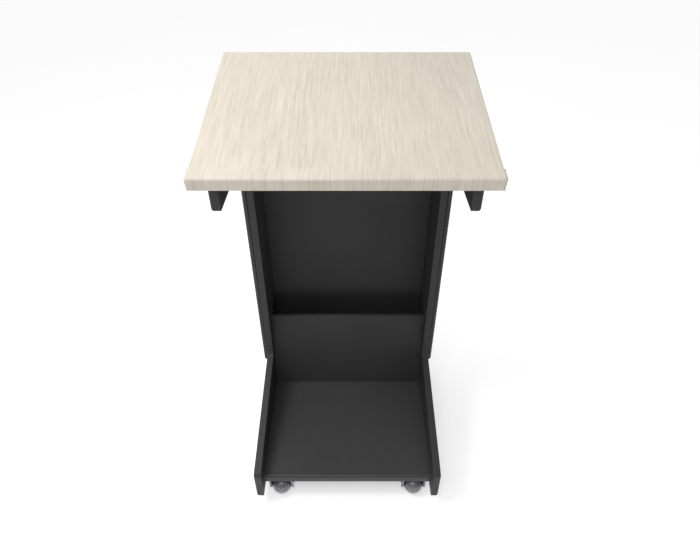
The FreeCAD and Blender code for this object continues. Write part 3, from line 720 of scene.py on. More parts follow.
@dataclass(frozen=True)
class MouldedPlastic:
    """Moulded plastic, plain or glossy, with flow clouding and fine scuffs."""

    name: str
    base: tuple[float, float, float]
    gloss: float
    coat: float = 0.0
    scuff: float = 0.06

    def make(self) -> bpy.types.Material:
        """Build the material.

        Returns:
            The material.
        """
        shader = Shader(self.name)
        even = shader.mapped((1.0, 1.0, 1.0))
        cloud = shader.noise(even, 60.0, 4.0, 0.6)
        grit = shader.noise(even, 1400.0, 2.0, 0.6)
        scuffs = shader.noise(shader.mapped((1.0, 6.0, 1.0)), 240.0, 4.0, 0.7, 0.8)
        colour = shader.ramp(cloud, [(0.3, shade(self.base, 0.90)), (0.7, shade(self.base, 1.10))])
        shader.colour(shader.tint(shader.spread(scuffs, 0.56, 0.74, 0.0, 0.25), colour,
                                  shade(self.base, 1.5)))
        marks = shader.math("MULTIPLY", shader.spread(scuffs, 0.45, 0.70, 0.0, 1.0), self.scuff)
        shader.roughness(shader.math("ADD", marks, self.gloss))
        shader.relief(grit, 0.02 * MM, 0.4)
        shader.set(Specular_IOR_Level=0.5, Coat_Weight=self.coat, Coat_Roughness=0.12)
        return shader.material


@dataclass(frozen=True)
class TreadRubber:
    """Grey non-marking tread with floor dust in its skin."""

    base: tuple[float, float, float] = (0.140, 0.141, 0.153)

    def make(self) -> bpy.types.Material:
        """Build the material.

        Returns:
            The material.
        """
        shader = Shader("grey_tread")
        even = shader.mapped((1.0, 1.0, 1.0))
        dust = shader.noise(shader.mapped((0.4, 1.0, 1.0)), 130.0, 5.0, 0.65, 0.4)
        grit = shader.noise(even, 2200.0, 2.0, 0.6)
        colour = shader.ramp(dust, [(0.35, shade(self.base, 0.88)), (0.68, shade(self.base, 1.22))])
        shader.colour(shader.tint(shader.spread(grit, 0.6, 0.8, 0.0, 0.3), colour, shade(self.base, 1.6)))
        shader.roughness(shader.spread(dust, 0.35, 0.70, 0.22, 0.38))
        shader.relief(grit, 0.02 * MM, 0.3)
        shader.set(Specular_IOR_Level=0.5, Coat_Weight=0.7, Coat_Roughness=0.14)
        return shader.material


@dataclass(frozen=True)
class PlatedSteel:
    """Plated or blackened steel with rolling lines, clouding and small stains."""

    name: str
    base: tuple[float, float, float]
    stain: tuple[float, float, float]
    gloss: float
    metallic: float = 1.0
    rolled: float = 0.35

    def make(self) -> bpy.types.Material:
        """Build the material.

        Returns:
            The material.
        """
        shader = Shader(self.name)
        even = shader.mapped((1.0, 1.0, 1.0))
        cloud = shader.noise(even, 90.0, 4.0, 0.6, 0.4)
        lines = shader.noise(shader.mapped((0.05, 1.0, 1.0)), 1800.0, 2.0, 0.6)
        grain = shader.noise(even, 1200.0, 3.0, 0.6)
        colour = shader.ramp(cloud, [(0.32, shade(self.base, 0.90)), (0.68, self.base)])
        shader.colour(shader.tint(shader.spread(cloud, 0.55, 0.75, 0.0, 0.35), colour, self.stain))
        wander = shader.math("MULTIPLY", shader.spread(grain, 0.3, 0.7, -1.0, 1.0), 0.06)
        shader.roughness(shader.math("ADD", wander, self.gloss))
        shader.relief(lines, 0.01 * MM, self.rolled)
        shader.set(Metallic=self.metallic, Specular_IOR_Level=0.5)
        return shader.material


@dataclass(frozen=True)
class PowderCoat:
    """Black powder coat with its fine pebbled skin."""

    base: tuple[float, float, float] = (0.028, 0.028, 0.030)

    def make(self) -> bpy.types.Material:
        """Build the material.

        Returns:
            The material.
        """
        shader = Shader("black_powder_coat")
        even = shader.mapped((1.0, 1.0, 1.0))
        pebble = shader.flecks(even, 1500.0)
        cloud = shader.noise(even, 40.0, 3.0)
        shader.colour(shader.ramp(cloud, [(0.3, shade(self.base, 0.85)), (0.7, shade(self.base, 1.25))]))
        shader.roughness(shader.spread(pebble, 0.0, 0.8, 0.42, 0.58))
        shader.relief(pebble, 0.05 * MM, 0.5)
        return shader.material


@dataclass(frozen=True)
class TurnedBeech:
    """Raw beech dowel with its short rays and straight grain."""

    base: tuple[float, float, float] = (0.56, 0.39, 0.23)

    def make(self) -> bpy.types.Material:
        """Build the material.

        Returns:
            The material.
        """
        shader = Shader("turned_beech")
        grain = shader.noise(shader.mapped((0.05, 1.0, 1.0)), 700.0, 4.0, 0.6)
        rays = shader.flecks(shader.mapped((0.3, 1.0, 1.0)), 900.0)
        colour = shader.ramp(grain, [(0.35, shade(self.base, 0.82)), (0.65, shade(self.base, 1.15))])
        shader.colour(shader.tint(shader.spread(rays, 0.0, 0.16, 0.5, 0.0), colour, shade(self.base, 0.55)))
        shader.roughness(shader.spread(grain, 0.3, 0.7, 0.55, 0.70))
        shader.relief(grain, 0.05 * MM, 0.5)
        return shader.material


@dataclass(frozen=True)
class StudioFloor:
    """White studio floor, barely mottled."""

    base: tuple[float, float, float] = (0.76, 0.76, 0.76)
    glow: float = 0.46

    def make(self) -> bpy.types.Material:
        """Build the material.

        Returns:
            The material.
        """
        shader = Shader("studio_floor")
        cloud = shader.noise(shader.mapped((1.0, 1.0, 1.0)), 1.2, 3.0)
        shader.colour(shader.ramp(cloud, [(0.3, shade(self.base, 0.99)), (0.7, shade(self.base, 1.01))]))
        shader.surface.inputs["Emission Color"].default_value = (1.0, 1.0, 1.0, 1.0)
        shader.set(Roughness=0.9, Specular_IOR_Level=0.15, Emission_Strength=self.glow)
        return shader.material


@dataclass(frozen=True)
class Finishes:
    """Every finish of the stand, made once and shared by its pieces."""

    laminate: bpy.types.Material
    panel: bpy.types.Material
    shelf: bpy.types.Material
    cap: bpy.types.Material
    beech: bpy.types.Material
    zinc: bpy.types.Material
    black_screw: bpy.types.Material
    bracket: bpy.types.Material
    caster_zinc: bpy.types.Material
    polished: bpy.types.Material
    fork: bpy.types.Material
    wheel: bpy.types.Material
    tread: bpy.types.Material

    @classmethod
    def make(cls, plan: Plan) -> "Finishes":
        """Make all the finishes for a plan.

        Args:
            plan: The plan, for the slope that the grain follows.

        Returns:
            The finishes.
        """
        zinc_stain = (0.50, 0.47, 0.36)
        return cls(
            laminate=WoodgrainLaminate(rake=plan.rake).make(),
            panel=CharcoalBoard("charcoal_panel").make(),
            # the shelf is the panel's charcoal board with a lighter base: painted light for the light that
            # falls on the level shelf
            shelf=CharcoalBoard("charcoal_shelf", base=(0.046, 0.046, 0.047), gloss=0.34).make(),
            cap=MouldedPlastic("charcoal_cap", (0.035, 0.035, 0.037), gloss=0.45).make(),
            beech=TurnedBeech().make(),
            zinc=PlatedSteel("zinc_plate", (0.60, 0.60, 0.57), zinc_stain, gloss=0.34).make(),
            black_screw=PlatedSteel("black_oxide", (0.045, 0.045, 0.048), (0.060, 0.052, 0.045), gloss=0.42,
                                    metallic=0.8).make(),
            bracket=PowderCoat().make(),
            caster_zinc=PlatedSteel("bright_zinc", (0.66, 0.66, 0.66), zinc_stain, gloss=0.26).make(),
            polished=PlatedSteel("bearing_polish", (0.76, 0.76, 0.77), (0.55, 0.55, 0.56), gloss=0.10,
                                 rolled=0.05).make(),
            fork=PlatedSteel("dark_plated_fork", (0.20, 0.20, 0.225), (0.13, 0.13, 0.145), gloss=0.24,
                             rolled=0.1).make(),
            wheel=MouldedPlastic("grey_wheel", (0.120, 0.121, 0.133), gloss=0.12, coat=1.0,
                                 scuff=0.03).make(),
            tread=TreadRubber().make(),
        )


# ---- reading top ----
@dataclass(frozen=True)
class ReadingTop:
    """Raked board and the raised book stop along its front."""

    plan: Plan
    finishes: Finishes
    board_top_round: float = 4.0 * MM
    board_under_round: float = 2.0 * MM
    board_corner_round: float = 3.0 * MM
    stop_front_round: float = 7.0 * MM
    stop_back_round: float = 2.5 * MM
    stop_corner_round: float = 8.0 * MM
    stop_under_round: float = 1.5 * MM
    joint_round: float = 0.3 * MM

    def local_block(self, node: str) -> tuple[bmesh.types.BMesh, SolidPart]:
        """Raked block that fills a node of the top, and the node's solid.

        Args:
            node: Name of the frame node.

        Returns:
            The block, and the solid that it fills.
        """
        part = solids_of(node)[0]
        spans = [part.span(direction) for direction in (AXIS_X, self.plan.along, self.plan.normal)]
        bm = block(Vector(span[0] for span in spans), Vector(span[1] for span in spans))
        bmesh.ops.transform(bm, matrix=axes(AXIS_X, self.plan.along, self.plan.normal), verts=bm.verts)
        return bm, part

    def board_rule(self, part: SolidPart) -> RoundRule:
        """Rounds of the board: its free rim, with the joint to the stop left tight.

        Args:
            part: The board's solid.

        Returns:
            The rule.
        """
        top = part.span(self.plan.normal)[1]
        front = part.span(self.plan.along)[0]

        def radius(edge: bmesh.types.BMEdge) -> float:
            """Round of one edge of the board.

            Args:
                edge: The edge.

            Returns:
                Its radius.
            """
            if on_plane(edge, self.plan.along, front):
                return self.joint_round
            if on_plane(edge, self.plan.normal, top):
                return self.board_top_round
            if on_plane(edge, self.plan.normal, part.span(self.plan.normal)[0]):
                return self.board_under_round
            return self.board_corner_round

        return radius

    def stop_rule(self, part: SolidPart) -> RoundRule:
        """Rounds of the stop: generous at the front and the ends, slight at the back.

        Args:
            part: The stop's solid.

        Returns:
            The rule.
        """
        under, top = part.span(self.plan.normal)
        front, back = part.span(self.plan.along)

        def radius(edge: bmesh.types.BMEdge) -> float:
            """Round of one edge of the stop.

            Args:
                edge: The edge.

            Returns:
                Its radius.
            """
            if on_plane(edge, self.plan.along, back):
                return self.stop_back_round if on_plane(edge, self.plan.normal, top) else self.joint_round
            if on_plane(edge, self.plan.normal, top):
                return self.stop_front_round
            if on_plane(edge, self.plan.normal, under):
                return self.stop_under_round
            return self.stop_corner_round if on_plane(edge, self.plan.along, front) else self.joint_round

        return radius

    def build(self) -> None:
        """Make the board and the book stop."""
        board, board_part = self.local_block("top_board")
        make_piece("reading_board", board, self.finishes.laminate, "stand", ["top_board"],
                   Softening(self.board_rule(board_part), self.board_top_round, 5))
        stop, stop_part = self.local_block("book_stop")
        make_piece("book_stop_strip", stop, self.finishes.laminate, "stand", ["book_stop"],
                   Softening(self.stop_rule(stop_part), self.stop_corner_round, 7))


# ---- side panels and column covers ----
@dataclass(frozen=True)
class SideAssembly:
    """One C-shaped side panel and the cover on the outside of its column."""

    plan: Plan
    finishes: Finishes
    side: Side
    edge_round: float = 6.0 * MM
    seam_round: float = 0.25 * MM
    inner_round: float = 0.8 * MM
    toe_ease: float = 0.8 * MM
    foot_top_round: float = 12.0 * MM
    waist_round: float = 20.0 * MM
    arm_root_round: float = 40.0 * MM
    rear_top_round: float = 25.0 * MM
    rear_bottom_round: float = 12.0 * MM
    cover_edge_round: float = 8.0 * MM
    cover_corner_round: float = 9.0 * MM
    waist_above_cover: float = 31.0 * MM
    crest_from_rear: float = 97.8 * MM
    arm_setback: float = 72.5 * MM
    arm_depth_at_front: float = 85.28 * MM

    def crest_y(self) -> float:
        """Depth at which the column's top turns from raked to level."""
        return self.plan.rear_y - self.crest_from_rear

    def top_z(self, y: float) -> float:
        """Height of the raked top edge, under the reading top."""
        return self.plan.column_top_z + (y - self.crest_y()) * self.plan.slope

    def place(self, x: float) -> Matrix:
        """Matrix that stands a sheet in the YZ plane at x on this panel's side."""
        upright = axes(AXIS_Y, AXIS_Z, AXIS_X, Vector((x, 0.0, 0.0)))
        return Matrix.Diagonal((self.side.value, 1.0, 1.0, 1.0)) @ upright

    def panel_outline(self) -> list[OutlinePoint]:
        """Foot, column and arm, round the C from the toe.

        Returns:
            The corners, in y and z.
        """
        plan = self.plan
        waist_z = plan.cover_bottom_z + self.waist_above_cover
        toe_top_z = waist_z + (plan.front_y - plan.column_front_y) * plan.slope
        arm_front_y = plan.front_y + self.arm_setback
        arm_under_z = self.top_z(arm_front_y) - self.arm_depth_at_front
        return [
            OutlinePoint(plan.front_y, plan.foot_under_z),
            OutlinePoint(plan.rear_y, plan.foot_under_z, self.rear_bottom_round),
            OutlinePoint(plan.rear_y, plan.column_top_z, self.rear_top_round),
            OutlinePoint(self.crest_y(), plan.column_top_z),
            OutlinePoint(arm_front_y, self.top_z(arm_front_y)),
            OutlinePoint(arm_front_y, arm_under_z),
            OutlinePoint(plan.column_front_y, arm_under_z, self.arm_root_round),
            OutlinePoint(plan.column_front_y, waist_z, self.waist_round),
            OutlinePoint(plan.front_y, toe_top_z, self.foot_top_round),
        ]

    def cover_outline(self) -> list[OutlinePoint]:
        """Column cover, from its lower front corner.

        Returns:
            The corners, in y and z.
        """
        plan = self.plan
        return [
            OutlinePoint(plan.column_front_y, plan.cover_bottom_z, self.cover_corner_round),
            OutlinePoint(plan.rear_y, plan.cover_bottom_z, self.cover_corner_round),
            OutlinePoint(plan.rear_y, plan.column_top_z, self.rear_top_round),
            OutlinePoint(self.crest_y(), plan.column_top_z),
            OutlinePoint(plan.column_front_y, self.top_z(plan.column_front_y)),
        ]

    def under_the_top(self, edge: bmesh.types.BMEdge) -> bool:
        """True for an edge that lies along the underside of the reading top."""
        return all(abs(vert.co.z - self.top_z(vert.co.y)) < NEAR for vert in edge.verts)

    def rim_rule(self, outer_x: float, outer_round: float, inner_x: float, inner_round: float) -> RoundRule:
        """Rounds of a sheet: one radius outside, one inside, none under the reading top.

        Args:
            outer_x: Distance of the outer face from the middle of the stand.
            outer_round: Radius round the outer face.
            inner_x: Distance of the inner face.
            inner_round: Radius round the inner face.

        Returns:
            The rule.
        """
        def radius(edge: bmesh.types.BMEdge) -> float:
            """Round of one edge of the sheet.

            Args:
                edge: The edge.

            Returns:
                Its radius.
            """
            if self.under_the_top(edge):
                return 0.0
            if on_plane(edge, AXIS_X, self.side.value * outer_x):
                joins_cover = outer_x < self.plan.cover_outer_x
                flush = joins_cover and on_plane(edge, AXIS_Y, self.plan.column_front_y)
                return self.seam_round if flush else outer_round
            return inner_round if on_plane(edge, AXIS_X, self.side.value * inner_x) else self.toe_ease

        return radius

    def build(self) -> None:
        """Make the panel and its cover."""
        plan = self.plan
        name = self.side.name.lower()
        panel = cut_sheet(self.panel_outline(), plan.side_outer_x - plan.inner_x, self.place(plan.inner_x))
        make_piece(f"c_panel_{name}", panel, self.finishes.panel, "stand", [f"side_panel_{name}"],
                   Softening(self.rim_rule(plan.side_outer_x, self.edge_round,
                                           plan.inner_x, self.inner_round), self.edge_round, 6))
        cover = cut_sheet(self.cover_outline(), plan.cover_outer_x - plan.side_outer_x,
                          self.place(plan.side_outer_x))
        make_piece(f"cover_{name}", cover, self.finishes.panel, "stand", [f"column_cover_{name}"],
                   Softening(self.rim_rule(plan.cover_outer_x, self.cover_edge_round,
                                           plan.side_outer_x, self.seam_round), self.cover_edge_round, 6))


# ---- panels between the sides ----
@dataclass(frozen=True)
class BetweenPanels:
    """Shelf, back panel, leaning pocket panel and top rail."""

    plan: Plan
    finishes: Finishes
    shelf_top_round: float = 8.0 * MM
    shelf_under_round: float = 4.0 * MM
    pocket_top_round: float = 8.0 * MM
    panel_thickness: float = 20.0 * MM
    arris: float = 0.5 * MM

    def build_shelf(self) -> None:
        """Low shelf, rounded along its front."""
        low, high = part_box("bottom_shelf")

        def radius(edge: bmesh.types.BMEdge) -> float:
            """Round of one edge of the shelf.

            Args:
                edge: The edge.

            Returns:
                Its radius.
            """
            if not on_plane(edge, AXIS_Y, low.y):
                return self.arris
            if on_plane(edge, AXIS_Z, high.z):
                return self.shelf_top_round
            return self.shelf_under_round if on_plane(edge, AXIS_Z, low.z) else self.arris

        make_piece("low_shelf", block(low, high), self.finishes.shelf, "stand", ["bottom_shelf"],
                   Softening(radius, self.shelf_top_round, 6))

    def build_flat(self, name: str, node: str) -> None:
        """Level or upright panel with slightly eased edges."""
        make_piece(name, block(*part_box(node)), self.finishes.panel, "stand", [node],
                   even_softening(self.arris))

    def build_pocket(self) -> None:
        """Leaning panel with a rounded top edge."""
        low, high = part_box("pocket_panel")
        level = self.panel_thickness / math.cos(self.plan.rake)
        lean = (high.z - low.z) * self.plan.slope
        outline = [
            OutlinePoint(low.y, low.z),
            OutlinePoint(low.y + level, low.z),
            OutlinePoint(low.y + lean + level, high.z, self.pocket_top_round),
            OutlinePoint(low.y + lean, high.z, self.pocket_top_round),
        ]
        sheet = cut_sheet(outline, high.x - low.x, axes(AXIS_Y, AXIS_Z, AXIS_X, Vector((low.x, 0.0, 0.0))))
        make_piece("leaning_pocket_panel", sheet, self.finishes.panel, "stand", ["pocket_panel"],
                   even_softening(self.arris))

    def build(self) -> None:
        """Make all four."""
        self.build_shelf()
        self.build_flat("column_back", "back_panel")
        self.build_flat("column_top_rail", "top_rail")
        self.build_pocket()


# ---- fasteners and brackets ----
@dataclass(frozen=True)
class ScrewHead:
    """A screw head with a hexagon socket, and the shank behind it.

    The two shoulder values are shares of the dome: how far in and how far down its middle ring lies.
    """

    radius: float
    height: float
    dome: float
    socket_flats: float
    socket_depth: float
    shank_radius: float
    facets_per_flat: int = 4
    shoulder_out: float = 0.35
    shoulder_down: float = 0.3

    def mesh(self, shank_length: float, place: Matrix) -> bmesh.types.BMesh:
        """Screw whose head seats on local z = 0 and whose shank runs down.

        Args:
            shank_length: Length of the shank below the seat.
            place: Matrix from the screw's frame to the stand.

        Returns:
            The closed screw.
        """
        bm = bmesh.new()
        reach = self.socket_flats / 2.0 / math.cos(math.radians(30.0))
        floor = bmesh.ops.create_circle(bm, cap_ends=True, radius=reach, segments=6)
        bmesh.ops.translate(bm, vec=(0.0, 0.0, self.height - self.socket_depth), verts=floor["verts"])
        bmesh.ops.subdivide_edges(bm, edges=list(bm.edges), cuts=self.facets_per_flat - 1)
        rim = self.pull_rim(bm, list(bm.edges), self.socket_depth)
        count = len(rim)
        rings = [
            (self.radius - self.dome, self.height),
            (self.radius - self.shoulder_out * self.dome, self.height - self.shoulder_down * self.dome),
            (self.radius, self.height - self.dome),
            (self.radius, 0.0),
            (self.shank_radius, 0.0),
            (self.shank_radius, -shank_length),
        ]
        for radius, height in rings:
            ring = bmesh.ops.create_circle(bm, cap_ends=False, radius=radius, segments=count)
            bmesh.ops.translate(bm, vec=(0.0, 0.0, height), verts=ring["verts"])
            edges = list({edge for vert in ring["verts"] for edge in vert.link_edges})
            bmesh.ops.bridge_loops(bm, edges=rim + edges)
            rim = edges
        bmesh.ops.contextual_create(bm, geom=rim)
        bmesh.ops.transform(bm, matrix=place, verts=bm.verts)
        bmesh.ops.recalc_face_normals(bm, faces=bm.faces)
        return bm

    @staticmethod
    def pull_rim(bm: bmesh.types.BMesh, edges: list[bmesh.types.BMEdge],
                 height: float) -> list[bmesh.types.BMEdge]:
        """Pull a loop of edges up into a wall.

        Args:
            bm: The mesh.
            edges: The loop.
            height: How far the wall rises.

        Returns:
            The wall's upper loop.
        """
        pulled = bmesh.ops.extrude_edge_only(bm, edges=edges)["geom"]
        raised = [item for item in pulled if isinstance(item, bmesh.types.BMVert)]
        bmesh.ops.translate(bm, vec=(0.0, 0.0, height), verts=raised)
        return [item for item in pulled if isinstance(item, bmesh.types.BMEdge)
                and all(vert in raised for vert in item.verts)]


PAN_SCREW = ScrewHead(radius=4.2 * MM, height=2.2 * MM, dome=1.2 * MM, socket_flats=2.5 * MM,
                      socket_depth=1.5 * MM, shank_radius=2.0 * MM)
FLUSH_SCREW = replace(PAN_SCREW, radius=3.8 * MM, height=1.6 * MM, dome=0.3 * MM, socket_depth=1.2 * MM)
PLATE_SCREW = replace(PAN_SCREW, radius=4.8 * MM, height=2.4 * MM, socket_flats=3.0 * MM,
                      shank_radius=2.5 * MM)


def inward(part: SolidPart) -> Vector:
    """Direction along x from a solid towards the middle of the stand."""
    return -AXIS_X * math.copysign(1.0, part.middle(AXIS_X))


@dataclass(frozen=True)
class Hardware:
    """Brackets, screws and caps of the stand."""

    plan: Plan
    finishes: Finishes
    bracket_thickness: float = 2.5 * MM
    bracket_bend_round: float = 2.0 * MM
    bracket_corner_round: float = 5.0 * MM
    bracket_ease: float = 0.3 * MM
    corner_reach: float = 1.2
    proud: float = 0.15 * MM
    cap_crown: float = 0.6 * MM
    cap_steps: int = 40

    def bracket(self, part: SolidPart) -> bmesh.types.BMesh:
        """Steel angle where one solid of the bracket node lies.

        Args:
            part: The solid.

        Returns:
            The angle, with its free corners rounded.
        """
        near, far = part.span(AXIS_X)
        side = Side.RIGHT if near > 0.0 else Side.LEFT
        wall, tip = (far, near) if side is Side.RIGHT else (near, far)
        inner_wall = wall - side.value * self.bracket_thickness
        down, up = part.span(self.plan.normal)
        start, end = part.span(self.plan.along)
        skin = self.bracket_thickness
        outline = [
            OutlinePoint(tip, up),
            OutlinePoint(tip, up - skin),
            OutlinePoint(inner_wall, up - skin, self.bracket_bend_round),
            OutlinePoint(inner_wall, down),
            OutlinePoint(wall, down),
            OutlinePoint(wall, up),
        ]
        place = axes(AXIS_X, self.plan.normal, -self.plan.along, self.plan.along * end)
        bm = cut_sheet(outline, end - start, place)
        free = [edge for edge in bm.edges if self.is_free_corner(edge, tip, down)]
        bmesh.ops.bevel(bm, geom=free, offset=self.bracket_corner_round, offset_type="OFFSET", segments=5,
                        profile=0.5, affect="EDGES", clamp_overlap=False, material=-1)
        return bm

    def is_free_corner(self, edge: bmesh.types.BMEdge, tip: float, down: float) -> bool:
        """True for a short edge through the steel at a free corner of an angle.

        Args:
            edge: The angle's edge.
            tip: Place along x of its upper leg's free end.
            down: Place along the normal of its side leg's free end.

        Returns:
            True where the corner gets its round.
        """
        short = edge.calc_length() < self.corner_reach * self.bracket_thickness
        at_tip = on_plane(edge, AXIS_X, tip)
        at_foot = on_plane(edge, self.plan.normal, down)
        through = abs((edge.verts[0].co - edge.verts[1].co).dot(self.plan.along)) < NEAR
        return short and through and (at_tip or at_foot)

    def build_brackets(self) -> None:
        """All the angles under the reading top."""
        whole = gather(self.bracket(part) for part in solids_of("board_brackets"))
        make_piece("top_angle_brackets", whole, self.finishes.bracket, "stand",
                   ["board_brackets"], even_softening(self.bracket_ease))

    def screws(self, name: str, node: str, head: ScrewHead, outward: Callable[[SolidPart], Vector],
               finish: bpy.types.Material, sunk: bool = False) -> None:
        """Make every screw of one node.

        Args:
            name: Name of the piece.
            node: Frame node whose solids are the screws.
            head: The head's sizes.
            outward: Direction out of a screw's head.
            finish: Material.
            sunk: True where the head lies flush with the board.
        """
        made = []
        for part in solids_of(node):
            out = outward(part)
            across = AXIS_Y if abs(out.y) < 0.5 else AXIS_Z
            first = out.cross(across).normalized()
            second = out.cross(first).normalized()
            low, high = part.span(out)
            seat = high - head.height + (self.proud if sunk else 0.0)
            centre = first * part.middle(first) + second * part.middle(second) + out * seat
            made.append(head.mesh(seat - low, axes(first, second, out, centre)))
        make_piece(name, gather(made), finish, "stand", [node])

    def build_screws(self) -> None:
        """Cover, bracket and caster-plate screws."""
        self.screws("cover_fixings", "cover_screws", FLUSH_SCREW, inward,
                    self.finishes.black_screw, sunk=True)
        self.screws("bracket_top_fixings", "bracket_board_screws", PAN_SCREW, lambda part: -self.plan.normal,
                    self.finishes.zinc)
        self.screws("bracket_side_fixings", "bracket_panel_screws", PAN_SCREW, inward,
                    self.finishes.zinc)
        self.screws("plate_fixings", "caster_screws", PLATE_SCREW, lambda part: -AXIS_Z,
                    self.finishes.zinc)

    def build_caps(self) -> None:
        """Low domed caps over the shelf's screws."""
        made = []
        for part in solids_of("screw_caps"):
            side = math.copysign(1.0, part.middle(AXIS_X))
            out = AXIS_X * side
            seat, crown = part.span(out)
            low, high = part.span(AXIS_Z)
            radius = (high - low) / 2.0
            height = crown - seat
            curl = self.cap_crown
            profile = [(height, 0.0)]
            profile += arc((height - curl, radius - curl), curl, 0.0, 90.0, 6)
            profile += [(0.0, radius), (0.0, 0.0)]
            centre = out * seat + AXIS_Y * part.middle(AXIS_Y) + AXIS_Z * part.middle(AXIS_Z)
            place = axes(AXIS_Y, out.cross(AXIS_Y), out, centre)
            made.append(turn_outline(profile, place, self.cap_steps))
        make_piece("shelf_screw_caps", gather(made), self.finishes.cap, "stand", ["screw_caps"])

    def dress_hidden(self) -> None:
        """Give the frame's own dowels, connector screws and bearing balls their finishes."""
        hidden = {
            "book_stop_dowels": self.finishes.beech,
            "shelf_dowels": self.finishes.beech,
            "back_panel_dowels": self.finishes.beech,
            "pocket_dowels": self.finishes.beech,
            "top_rail_dowels": self.finishes.beech,
            "panel_screws": self.finishes.zinc,
        }
        for corner in Corner:
            hidden[f"{corner.value}_caster_balls"] = self.finishes.polished
        for node, finish in hidden.items():
            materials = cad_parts[node].data.materials
            materials.clear()
            materials.append(finish)
            LOG.info("%s: frame node dressed in %s", node, finish.name)

    def build(self) -> None:
        """Make and dress all the hardware."""
        self.build_brackets()
        self.build_screws()
        self.build_caps()
        self.dress_hidden()


# ---- casters ----
@dataclass(frozen=True)
class Groove:
    """A fine ring groove on the wheel: its place along the axle and half its width."""

    place: float
    half_width: float


